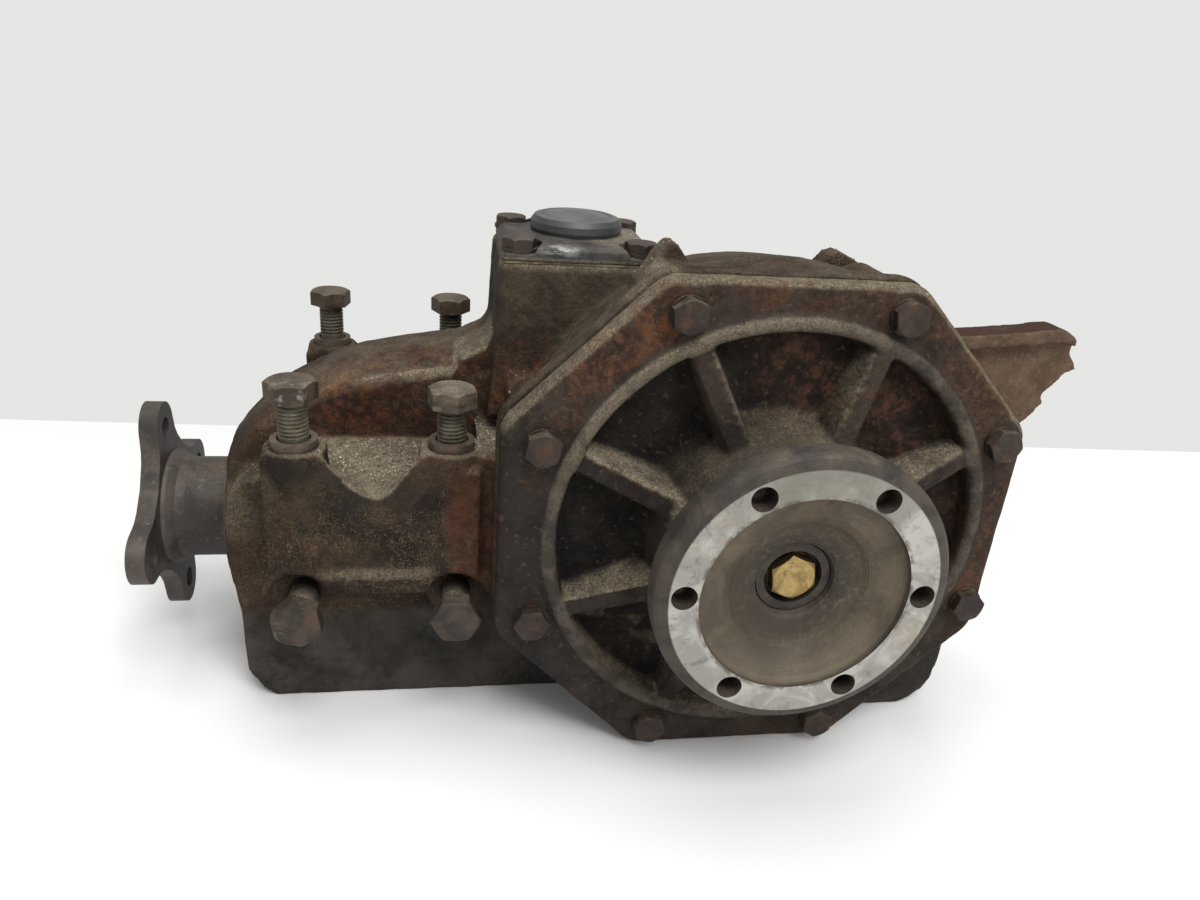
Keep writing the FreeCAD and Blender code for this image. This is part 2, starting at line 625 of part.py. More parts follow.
def nose_mount_bolts():
    return Part.makeCompound([
        screw(6.0, (PILLAR_X[at], PILLAR_Y * side, PILLAR_SCREW_Z + lift), Z * -1, 60,
              18.0, 7.5, turn=5 + 37 * i, pitch=MOUNT_PITCH)
        for i, (at, side, lift) in enumerate(MOUNTS)])


def nose_dowel_sleeves():
    return Part.makeCompound([
        tube(9.3, 6.7, (PILLAR_X[at], PILLAR_Y * side, SLEEVE_Z), Z,
             PILLAR_TOP_Z + 2.4 - SLEEVE_Z)
        for at, side, lift in MOUNTS])


def side_mount_bolts():
    return Part.makeCompound([
        screw(6.0, (SIDE_BOLT_X[at], (81.4 + 0.3 * i) * side, SIDE_BOLT_Z), Y * -side, 31,
              19.0, 7.6, turn=9 + 21 * i, pitch=MOUNT_PITCH)
        for i, (at, side, lift) in enumerate(MOUNTS)])


# ===========================================================================
# 5  Plugs
# ===========================================================================
PLUG_WASHER_T = 1.5


def plug(name):
    """Hollow threaded plug with a round collar and a hexagon."""
    axis = plug_axis(name)
    seat = plug_point(axis, PLUG_FACE_R)
    solid = cylinder(15.0, seat + axis * PLUG_WASHER_T, axis, 3.5).fuse(
        [hexagon(22.0, seat + axis * 4.9, axis, 7.6),
         cylinder(11.0, seat - axis * 14, axis, 16.0)])
    return solid.cut(cylinder(7.0, seat - axis * 15, axis, 13)).removeSplitter()


def plug_washers():
    return Part.makeCompound([
        tube(14.5, 11.2, plug_point(axis, PLUG_FACE_R), axis, PLUG_WASHER_T)
        for axis in map(plug_axis, PLUG_ANGLES)])


# ===========================================================================
# 6  Bearings
# ===========================================================================
# name, sizes, centre of the cone's back face, direction towards the narrow end
BEARINGS = [
    ("near_carrier", CARRIER_BEARING, (0, NEAR_CONE_Y, 0), Y * -1),
    ("far_carrier", CARRIER_BEARING, (0, FAR_CONE_Y, 0), Y),
    ("pinion_rear", REAR_BEARING, (REAR_CONE_X, 0, PINION_Z), X * -1),
    ("pinion_front", FRONT_BEARING, (FRONT_CONE_X, 0, PINION_Z), X)]


def taper_bearing(size, origin, direction):
    """Cone, cup, rollers and cage.  Before placing, z=0 is the cone's back
    face and z runs to the cup's narrow side, where the rollers are smallest."""
    angle = math.radians(size["angle"])
    half = size["half"]
    bore_r, outer_r = size["bore"] / 2, size["outside"] / 2
    # middle of a roller, its axis direction and its normal, as (z, radius)
    mid_z = size["width"] / 2.0 + 0.1
    mid_r = (size["bore"] + size["outside"]) / 4.0 + 0.2
    axis = (math.cos(angle), -math.sin(angle))
    normal = (math.sin(angle), math.cos(angle))
    taper = math.atan((size["wide"] - size["narrow"]) / (2 * half))
    roller_r = (size["wide"] + size["narrow"]) / 2.0

    def raceway(offset, slope):
        """Race radius at z: a line through the point offset along the normal."""
        z0, r0 = mid_z + normal[0] * offset, mid_r + normal[1] * offset
        return lambda z: r0 + (z - z0) * math.tan(slope)

    outer = raceway(roller_r + ROLLER_PLAY, -(angle + taper))
    inner = raceway(-(roller_r + ROLLER_PLAY), -(angle - taper))
    rib_z = mid_z - half * axis[0] - size["wide"] * normal[0] - 0.12
    rib_r = inner(rib_z) + 1.9
    cone_ring = turned_z([(bore_r, 0), (rib_r, 0), (rib_r, rib_z - 0.5),
                          (inner(rib_z), rib_z - 0.02), (inner(size["cone"]), size["cone"]),
                          (bore_r, size["cone"])])
    width, cup_z = size["width"], size["width"] - size["cup"]
    cup = turned_z([(outer_r, cup_z), (outer_r, width), (outer(width), width),
                    (outer(cup_z), cup_z)])

    def roller(extra_r, extra_half):
        reach = half + extra_half
        change = math.tan(taper) * reach
        return cone(roller_r + extra_r + change, roller_r + extra_r - change,
                    (mid_r - reach * axis[1], 0, mid_z - reach * axis[0]),
                    Vector(axis[1], 0, axis[0]), 2 * reach)

    rollers = polar(roller(0, 0), Z, size["rollers"])
    pockets = polar(roller(0.12, 0.15), Z, size["rollers"])
    end, skin = half + 1.5, 0.6
    cage = turned_z([(mid_r + along * axis[1] + out * normal[1],
                      mid_z + along * axis[0] + out * normal[0])
                     for along, out in ((-end, skin), (end, skin), (end, -skin), (-end, -skin))])
    cage = cage.cut(pockets)
    placed = []
    for shape in (cone_ring, cup, Part.makeCompound(rollers), cage):
        shape = shape.copy()
        seat = Placement(Vector(*origin), Rotation(Z, Vector(direction)))
        shape.Placement = seat.multiply(shape.Placement)
        placed.append(shape)
    return placed


def carrier_shims():
    return Part.makeCompound([
        tube(CARRIER_CUP_R - 0.1, 34.5, (0, y, 0), Y, SHIM_T)
        for y in (NEAR_SHOULDER_Y, FAR_SHOULDER_Y - SHIM_T)])


def pinion_depth_shim():
    return tube(REAR_CUP_R - 0.1, 33.5, (REAR_SHOULDER_X, 0, PINION_Z), X, SHIM_T)


# ===========================================================================
# 7  Hypoid gear pair and input
# ===========================================================================
RING_TEETH, PINION_TEETH = 37, 9
RATIO = RING_TEETH / float(PINION_TEETH)
PINION_SPIRAL = math.radians(40.0)
APEX_X = HYPOID_OFFSET * math.tan(PINION_SPIRAL)    # apex of the pitch cone
MEAN_X = -70.0              # where the tooth lines start
MEAN_R = math.hypot(MEAN_X, HYPOID_OFFSET)          # the same place on the wheel
ADDENDUM, DEDENDUM = 3.2, 4.4
HEAD_X0, HEAD_X1 = -88.0, -52.0     # toothed length of the pinion

SPLINE_END_X = -252.8       # outer end of the splines on the shaft
WASHER_X = -256.0           # outer face of the washer under the nut
WASHER_SEAT_X = -253.5
INPUT_FACE_X = -268.0       # input flange outer face
INPUT_T = 8.0
INPUT_BOLT_R = 42.5
INPUT_ARM_R = 12.2          # rounded ends of the arms
INPUT_TILT = 4.6            # degrees of tilt of the four arms
# concave flank of an arm: (distance from the axis, half width)
INPUT_ARM = [(0, 29), (18, 25.5), (26, 19.5), (31, 15.6), (36, 13.2),
             (INPUT_BOLT_R, INPUT_ARM_R)]
# lip seal: (depth from its outer face, height above the shaft); the rim
# points are added from the bore
SEAL_LIPS = [(0, 2.4), (1.2, 0.06), (2.6, 1.4), (5.2, 1.6), (6.4, 0.06), (8.6, 2.6),
             (9.0, 4.2), (3.0, 5.0)]


def pitch_radius(x):
    return (APEX_X - x) / RATIO


def ring_spiral(radius):
    return PINION_SPIRAL - math.asin(HYPOID_OFFSET / radius)


def ring_pitch_y(radius):
    return -pitch_radius(-math.sqrt(radius ** 2 - HYPOID_OFFSET ** 2))


def ring_root_y(radius):
    return ring_pitch_y(radius) - DEDENDUM


def ring_tooth_angle(radius):
    """Polar angle of a tooth's centre line, integrated from the mean radius."""
    steps = 60
    angle = -math.pi + math.asin(HYPOID_OFFSET / MEAN_R)
    for i in range(steps):
        at = MEAN_R + (radius - MEAN_R) * (i + 0.5) / steps
        angle += math.tan(ring_spiral(at)) / at * (radius - MEAN_R) / steps
    return angle


def half_widths(root, tip, scale, sunk):
    """Scaled half widths of a tooth, its flanks extended below the root."""
    root, tip = root * scale, tip * scale
    return root + (root - tip) * sunk / (ADDENDUM + DEDENDUM), tip


def ring_tooth(index):
    sunk = 1.5
    sections = []
    for radius in (62.0, 68.0, 74.0, 80.0, 86.0, 92.0):
        scale = radius / 79.0 / math.cos(ring_spiral(radius))
        root, tip = half_widths(3.1, 1.1, scale, sunk)
        low = Y * (ring_root_y(radius) - sunk)
        high = Y * (ring_pitch_y(radius) + ADDENDUM)
        angle = ring_tooth_angle(radius) + 2 * math.pi * index / RING_TEETH
        centre = Vector(radius * math.cos(angle), 0, radius * math.sin(angle))
        across = Vector(-math.sin(angle), 0, math.cos(angle))
        sections.append([centre - across * root + low, centre + across * root + low,
                         centre + across * tip + high, centre - across * tip + high])
    return loft(sections)


def ring_gear():
    body = turned_y([(58.0, RING_BACK_Y), (92.5, RING_BACK_Y), (94.5, RING_BACK_Y + 2),
                     (94.5, ring_root_y(94.5) - 1.0), (93.0, ring_root_y(93.0)),
                     (60.8, ring_root_y(60.8)), (59.3, ring_root_y(60.8) - 1.2),
                     (58.0, ring_root_y(60.8) - 3)])
    gear = body.fuse([ring_tooth(k) for k in range(RING_TEETH)])
    return gear.cut(ring_holes(5.05, RING_BACK_Y - 1, 11.5))


def pinion_tooth(index):
    sunk = 1.2
    steps = 12
    sections = []
    for i in range(steps + 1):
        x = HEAD_X0 + (HEAD_X1 - HEAD_X0) * i / steps
        radius = pitch_radius(x)
        twist = math.tan(PINION_SPIRAL) * RATIO * math.log((APEX_X - x) / (APEX_X - MEAN_X))
        centre = math.pi + twist + 2 * math.pi * (index + 0.5) / PINION_TEETH
        scale = radius / pitch_radius(MEAN_X) / math.cos(PINION_SPIRAL)
        root, tip = half_widths(3.5, 1.35, scale, sunk)
        low, high = radius - DEDENDUM - sunk, radius + ADDENDUM
        section = []
        for r, width in ((low, -root), (low, root), (high, tip), (high, -tip)):
            angle = centre + width / radius
            section.append((x, r * math.cos(angle), PINION_Z + r * math.sin(angle)))
        sections.append(section)
    return loft(sections)


def pinion_shaft():
    root0 = pitch_radius(HEAD_X0) - DEDENDUM
    root1 = pitch_radius(HEAD_X1) - DEDENDUM
    head = turned_x([(-91.0, 0), (-91.0, root0 - 0.6), (HEAD_X0, root0), (HEAD_X1, root1),
                     (-50.5, root1 - 1.5), (-50.5, 0)])
    pinion = head.fuse([pinion_tooth(k) for k in range(PINION_TEETH)])
    # stem: shoulder, rear seat, middle, front seat, spline core, thread
    rear_r = REAR_BEARING["bore"] / 2 - 0.01
    front_r = FRONT_BEARING["bore"] / 2 - 0.02
    rear_end = REAR_CONE_X - REAR_BEARING["cone"]
    pinion = pinion.fuse(turned_x([
        (-90.5, 0), (-90.5, 24.0), (REAR_CONE_X, 24.0), (REAR_CONE_X, rear_r),
        (rear_end - 3, rear_r), (rear_end - 4, 15.4), (-188, 15.4), (-189, front_r),
        (FRONT_CONE_X - 0.5, front_r), (FRONT_CONE_X - 1.5, 12.5), (SPLINE_END_X, 12.5),
        (-253.2, 10.9), (-270.5, 10.9), (-271.5, 9.9), (-271.5, 0)]))
    pinion = pinion.fuse(pinion_splines(SPLINE_END_X, FRONT_CONE_X - 6))
    return largest(pinion.removeSplitter())


def crush_sleeve():
    """Bulged sleeve between the cones of the two pinion bearings."""
    start = FRONT_CONE_X + FRONT_BEARING["cone"] + 0.02
    end = REAR_CONE_X - REAR_BEARING["cone"] - 0.02
    return turned_x([(start, 16.0), (start, 20.5), (start + 20, 20.5), (start + 28, 23.5),
                     (start + 36, 20.5), (end, 20.5), (end, 18.2), (start + 36, 18.2),
                     (start + 28, 21.2), (start + 20, 18.2), (start + 8, 16.0)])


def input_flange():
    """Four concave-sided arms, neck, splined bore and nut recess."""
    centre = Vector(0, 0, PINION_Z)
    bolt_z = PINION_Z + INPUT_BOLT_R
    angles = [INPUT_TILT + 90 * i for i in range(4)]
    arm_end = cylinder(INPUT_ARM_R, (INPUT_FACE_X, 0, bolt_z), X, INPUT_T)
    arm = slab_x([(-half, PINION_Z + out) for out, half in INPUT_ARM]
                 + [(half, PINION_Z + out) for out, half in reversed(INPUT_ARM)],
                 INPUT_FACE_X, INPUT_T)
    arms = [rotated(shape, X, angle, centre) for angle in angles for shape in (arm_end, arm)]
    flange = along_x(30.5, INPUT_FACE_X, INPUT_T).fuse(arms)
    neck_end = FRONT_CONE_X - 0.02
    flange = flange.fuse(turned_x([
        (INPUT_FACE_X + 2, 0), (INPUT_FACE_X + 2, 30), (INPUT_FACE_X + INPUT_T + 1.5, 27.5),
        (INPUT_FACE_X + 13, 24.8), (INPUT_FACE_X + 17, NECK_R), (-216.0, NECK_R),
        (neck_end, NECK_R - 2.0), (neck_end, 0)]))
    hole = cylinder(5.0, (INPUT_FACE_X - 1, 0, bolt_z), X, INPUT_T + 6)
    flange = flange.cut([rotated(hole, X, angle, centre) for angle in angles])
    flange = flange.cut([along_x(12.55, -300, 120), along_x(15.1, FRONT_CONE_X - 2.0, 4),
                         along_x(20.0, -300, 300 + WASHER_SEAT_X)]
                        + pinion_splines(-260, FRONT_CONE_X + 3, 0.05))
    return largest(flange.removeSplitter())


def pinion_washer():
    return tube(18.5, 11.2, (WASHER_X, 0, PINION_Z), X, WASHER_SEAT_X - WASHER_X)


def pinion_nut():
    nut = hexagon(32.0, (WASHER_X - 0.05, 0, PINION_Z), X * -1, 12.0, 10)
    return nut.cut(along_x(10.95, -280, 40))


def seal_profile(shaft_r):
    """Lip seal section: (depth from the outer face, radius)."""
    rim = SEAL_BORE_R - 0.03
    return ([(0, rim)] + [(depth, shaft_r + height) for depth, height in SEAL_LIPS]
            + [(3.0, rim - 1.8), (9.5, rim - 1.8), (9.5, rim)])


def pinion_seal():
    return turned_x([(PINION_SEAL_X + depth, r) for depth, r in seal_profile(NECK_R)])


def output_seal(outer_y, inward):
    return turned_y([(r, outer_y + inward * depth) for depth, r in seal_profile(HUB_R)])


# ===========================================================================
# 8  Differential carrier and crown-wheel screws
# ===========================================================================
JOURNAL_R = CARRIER_BEARING["bore"] / 2 - 0.02
CARRIER_FLANGE_Y = -57.5
CARRIER_END = CARRIER_BEARING["cone"] + 1.0     # journal length past the cone's back
# outside of the carrier: (radius, y)
CARRIER = [(0, NEAR_CONE_Y - CARRIER_END), (JOURNAL_R, NEAR_CONE_Y - CARRIER_END),
           (JOURNAL_R, NEAR_CONE_Y), (29.5, NEAR_CONE_Y), (33, NEAR_CONE_Y + 4),
           (44, CARRIER_FLANGE_Y), (79.5, CARRIER_FLANGE_Y), (80.5, CARRIER_FLANGE_Y + 1),
           (80.5, RING_BACK_Y), (57.9, RING_BACK_Y), (57.9, -39.0), (45, -37.0), (45, 19.0),
           (40, 25.5), (30, 30.0), (29.5, FAR_CONE_Y), (JOURNAL_R, FAR_CONE_Y),
           (JOURNAL_R, FAR_CONE_Y + CARRIER_END), (0, FAR_CONE_Y + CARRIER_END)]
# hollow for the bevel gears: (radius, y from the differential centre)
GEAR_CHAMBER = [(0, -24.8), (32.0, -24.8), (33.5, -20), (33.5, 20), (32.0, 24.8), (0, 24.8)]


def diff_carrier():
    carrier = turned_y(CARRIER)
    carrier = carrier.cut(turned_y([(r, DIFF_Y + y) for r, y in GEAR_CHAMBER]))
    carrier = carrier.cut([along_y(14.55, -200, 400),
                           cylinder(7.02, (0, DIFF_Y, -60), Z, 120)])
    # assembly windows
    carrier = carrier.cut(box((-60, 60), (DIFF_Y - 19, DIFF_Y + 19), (-24, 24)))
    # lock-pin bore through the wall, parallel to the output axis
    carrier = carrier.cut([cylinder(LOCK_PIN_BORE_R, (0, -60, LOCK_PIN_Z), Y, 60)])
    return carrier.cut(ring_holes(5.3, -60, 20)).removeSplitter()


def ring_gear_bolts():
    return Part.makeCompound([
        screw(5.0, clock_point(RING_BOLT_R, 360 // RING_BOLTS * i, CARRIER_FLANGE_Y - 0.02),
              Y, 22, 16.0, 6.6, turn=13 * i, collar=9.3)
        for i in range(RING_BOLTS)])


def cross_pin():
    bore = cylinder(LOCK_PIN_BORE_R, (0, DIFF_Y - 20, LOCK_PIN_Z), Y, 40)
    return cylinder(7.0, (0, DIFF_Y, -44.0), Z, 88.0).cut(bore)


def cross_pin_lock_pin():
    return cylinder(3.0, (0, -44.5, LOCK_PIN_Z), Y, 44.4)


# ===========================================================================
# 9  Differential bevel gears
# ===========================================================================
SIDE_TEETH, SPIDER_TEETH = 16, 10
MODULE = 3.0
SIDE_PITCH_R, SPIDER_PITCH_R = MODULE * SIDE_TEETH / 2, MODULE * SPIDER_TEETH / 2
CONE_DISTANCE = math.hypot(SIDE_PITCH_R, SPIDER_PITCH_R)
SIDE_GEAR_BACK = 23.2       # side gear back, from the differential centre


def bevel_gear(teeth, pitch_angle, back, bore, hub_r, phase=0.0):
    """Straight bevel gear: apex at the origin, axis +Z, teeth towards the apex."""
    face_width, addendum, dedendum, half_width = 10.0, 2.3, 3.1, 1.62
    along = Vector(math.sin(pitch_angle), 0, math.cos(pitch_angle))
    normal = Vector(math.cos(pitch_angle), 0, -math.sin(pitch_angle))
    inner_scale = (CONE_DISTANCE - face_width) / CONE_DISTANCE
    outer = along * CONE_DISTANCE - normal * dedendum
    inner = outer * inner_scale
    body = turned_z([(bore, inner.z), (inner.x, inner.z), (outer.x, outer.z),
                     (outer.x * 0.985, outer.z + 2.0), (hub_r, back), (bore, back)])
    root, tip = half_width * 1.75, half_width * 0.42
    sunk = -dedendum - 0.8
    corners = ((sunk, root), (sunk, -root), (addendum, -tip), (addendum, tip))
    tooth = loft([[(along * CONE_DISTANCE + normal * height + Y * width) * scale
                   for height, width in corners] for scale in (inner_scale, 1.0)])
    gear = body.fuse([rotated(tooth, Z, 360.0 * i / teeth + phase) for i in range(teeth)])
    gear = gear.removeSplitter()
    if gear.Volume < 0:
        gear.reverse()
    return gear


def side_gear(side):
    """Side gear with its splined stub shaft; side is -1 for near, 1 for far."""
    # half a tooth of phase sets a gap at +Z and -Z, where the spiders have a tooth
    gear = bevel_gear(SIDE_TEETH, math.atan2(SIDE_PITCH_R, SPIDER_PITCH_R), SIDE_GEAR_BACK,
                      bore=0.0, hub_r=25.5, phase=180.0 / SIDE_TEETH)
    gear.rotate(ORIGIN, X, -90 * side)
    gear.translate(Vector(0, DIFF_Y, 0))
    tip_y = side * STUB_TIP_Y
    start = DIFF_Y + side * (SIDE_GEAR_BACK - 1)
    length = abs(tip_y - start)
    outward = Y * side
    shaft = cylinder(14.5, (0, start, 0), outward, length - 22)
    spline_core = cylinder(11.8, (0, start + side * (length - 23), 0), outward, 23)
    gear = gear.fuse([shaft, spline_core] + output_splines(tip_y, tip_y - side * 20.5))
    gear = gear.cut(cylinder(5.05, (0, tip_y, 0), Y * -side, 26))
    gear = gear.cut(cylinder(8.6, (0, DIFF_Y, 0), outward, 16))
    return gear.removeSplitter()


def spider_gear(tilt):
    """Spider gear on the cross pin; tilt about X is 0 for upper, 180 for lower."""
    gear = bevel_gear(SPIDER_TEETH, math.atan2(SPIDER_PITCH_R, SIDE_PITCH_R), 30.6,
                      bore=7.04, hub_r=13.5)
    gear.rotate(ORIGIN, Z, 90)
    gear.rotate(ORIGIN, X, tilt)
    gear.translate(Vector(0, DIFF_Y, 0))
    return gear


def side_gear_thrust_washers():
    thickness, inner_face = 1.45, 23.3
    return Part.makeCompound([
        tube(25.0, 14.7, (0, DIFF_Y + start, 0), Y, thickness)
        for start in (-inner_face - thickness, inner_face)])


def spider_thrust_washers():
    """Flat washers behind the spiders, rounded off to fit the gear chamber."""
    thickness, inner_face = 2.0, 30.75
    limit = along_y(33.4, DIFF_Y - 30, 60)
    return Part.makeCompound([
        tube(13.4, 7.1, (0, DIFF_Y, z), Z, thickness).common(limit)
        for z in (-inner_face - thickness, inner_face)])


# ===========================================================================
# 10  Drive flanges
# ===========================================================================
FLANGE_R = 58.0
FLANGE_FACE_OUTER_R = 52.6
FLANGE_FACE_INNER_R = 41.2
FLANGE_PCD = 94.0           # six holes for the drive-shaft joint
FLANGE_HOLE_R = 5.0
FLANGE_HOLE_PHASE = 31.2    # degrees from +Z of the first hole
BOWL_DEPTH = 22.0
FLANGE_END_Y = -101.8       # inner end of the near flange's neck
# outside and bowl of the flange: (radius, depth behind the face)
FLANGE_OUTSIDE = [(0, 0), (FLANGE_FACE_OUTER_R, 0), (54.6, 0.7), (56.4, 1.5), (57.6, 2.8),
                  (FLANGE_R, 4.4), (FLANGE_R, 11.6), (57.0, 12.8), (40, 13.6),
                  (34.5, 15.4), (30.0, 20.0), (26.0, 25.0), (HUB_R, 27.5)]
FLANGE_BOWL = [(0, -1), (FLANGE_FACE_INNER_R + 0.3, -1), (FLANGE_FACE_INNER_R, 0),
               (40.7, 2.2), (38.9, 3.3), (35.5, 4.1), (31.0, 5.6), (28.0, 7.4),
               (26.2, 9.2), (24.2, 10.2), (20.5, 10.9), (17.4, 11.4), (16.0, 12.4),
               (15.4, 14.2), (15.2, BOWL_DEPTH), (0, BOWL_DEPTH)]


def drive_flange(side):
    """Flanged output hub, built for the near side and mirrored for the far."""
    face_y = -FLANGE_Y
    flange = turned_y([(r, face_y + depth) for r, depth in FLANGE_OUTSIDE]
                      + [(HUB_R, -103.0), (HUB_R - 1, FLANGE_END_Y), (0, FLANGE_END_Y)])
    flange = flange.cut(turned_y([(r, face_y + depth) for r, depth in FLANGE_BOWL]))
    flange = flange.cut([along_y(11.9, face_y - 1, 60)]
                        + output_splines(face_y + 10, -95, 0.05))
    flange = flange.cut([
        cylinder(FLANGE_HOLE_R,
                 clock_point(FLANGE_PCD / 2, FLANGE_HOLE_PHASE + 60 * i, face_y - 1), Y, 18)
        for i in range(6)])
    flange = flange.removeSplitter()
    if side > 0:
        flange = flange.mirror(ORIGIN, Y)
    return flange


def flange_washer(side):
    """Cup washer; its rim stands up around the hexagon of the flange bolt."""
    seat = (0, side * (FLANGE_Y - BOWL_DEPTH), 0)
    disc = tube(14.9, 5.2, seat, Y * side, 2.2)
    return disc.fuse(tube(14.9, 11.6, seat, Y * side, 7.5)).removeSplitter()


def flange_bolt(side):
    seat_y = side * (FLANGE_Y - BOWL_DEPTH + 2.22)
    return screw(5.0, (0, seat_y, 0), Y * -side, 26, 17.0, 6.6, turn=8, collar=9.6)


# ===========================================================================
# Write every piece
# ===========================================================================
for piece in (main_housing, side_cover, side_cover_gasket, side_cover_bolts,
              tower_cover, tower_cover_gasket, tower_cover_bolts, tower_plug,
              nose_mount_bolts, nose_dowel_sleeves, side_mount_bolts, plug_washers,
              carrier_shims, pinion_depth_shim, ring_gear, pinion_shaft, crush_sleeve,
              input_flange, pinion_washer, pinion_nut, diff_carrier, ring_gear_bolts,
              cross_pin, cross_pin_lock_pin, side_gear_thrust_washers,
              spider_thrust_washers):
    save(piece.__name__, piece())

for name in PLUG_ANGLES:
    save(name, plug(name))

for name, size, origin, direction in BEARINGS:
    shapes = taper_bearing(size, origin, direction)
    for kind, shape in zip(("cone", "cup", "rollers", "cage"), shapes):
        save("%s_bearing_%s" % (name, kind), shape)

save("pinion_oil_seal", pinion_seal())
save("near_output_seal", output_seal(NEAR_SEAL_Y, 1))
save("far_output_seal", output_seal(FAR_SEAL_Y, -1))
save("spider_gear_upper", spider_gear(0))
save("spider_gear_lower", spider_gear(180))

for name, side in (("near", -1), ("far", 1)):
    save(name + "_side_gear", side_gear(side))
    save(name + "_drive_flange", drive_flange(side))
    save(name + "_flange_washer", flange_washer(side))
    save(name + "_flange_bolt", flange_bolt(side))
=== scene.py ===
# A final-drive unit in its cast iron case: weathered materials for every piece, and three
# castings rebuilt with a sand-cast skin. Metres, +Z up. The drive flanges turn about the Y
# axis, with the near side towards -Y. The input flange is at -X, the side arm at +X, and
# the tower rises left of the middle.
import math
import random
from functools import cached_property, reduce

import bmesh
import bpy
import numpy as np
from mathutils import Matrix, Vector, noise
from mathutils.bvhtree import BVHTree


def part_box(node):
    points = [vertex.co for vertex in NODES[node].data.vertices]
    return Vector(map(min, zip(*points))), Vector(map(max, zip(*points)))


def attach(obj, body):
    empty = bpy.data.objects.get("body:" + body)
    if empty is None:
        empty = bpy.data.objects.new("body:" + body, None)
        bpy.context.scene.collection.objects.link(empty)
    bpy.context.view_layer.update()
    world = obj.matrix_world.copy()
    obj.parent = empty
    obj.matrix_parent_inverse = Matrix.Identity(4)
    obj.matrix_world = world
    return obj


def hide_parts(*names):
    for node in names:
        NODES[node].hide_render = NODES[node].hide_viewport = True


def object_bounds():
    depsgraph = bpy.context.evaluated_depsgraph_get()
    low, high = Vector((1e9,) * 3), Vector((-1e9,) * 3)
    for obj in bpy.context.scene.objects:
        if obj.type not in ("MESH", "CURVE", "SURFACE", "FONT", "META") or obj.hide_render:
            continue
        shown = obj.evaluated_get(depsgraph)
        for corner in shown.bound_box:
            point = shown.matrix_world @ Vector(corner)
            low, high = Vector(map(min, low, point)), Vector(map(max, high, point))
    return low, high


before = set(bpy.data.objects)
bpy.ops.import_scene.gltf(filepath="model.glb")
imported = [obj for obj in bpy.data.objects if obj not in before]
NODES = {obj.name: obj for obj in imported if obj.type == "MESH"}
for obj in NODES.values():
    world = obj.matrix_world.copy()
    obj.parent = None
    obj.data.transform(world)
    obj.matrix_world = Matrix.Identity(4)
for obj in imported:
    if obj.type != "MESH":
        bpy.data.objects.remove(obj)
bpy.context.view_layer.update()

SCENE = bpy.context.scene

GOLD_BOLT_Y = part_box("near_flange_bolt")[0][1]           # its near end
SIDE_SHANK_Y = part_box("side_mount_bolts")[0][1] + 0.0075  # in from the near ends
DUST_DARK, DUST_LIGHT = (0.135, 0.106, 0.071), (0.285, 0.238, 0.168)


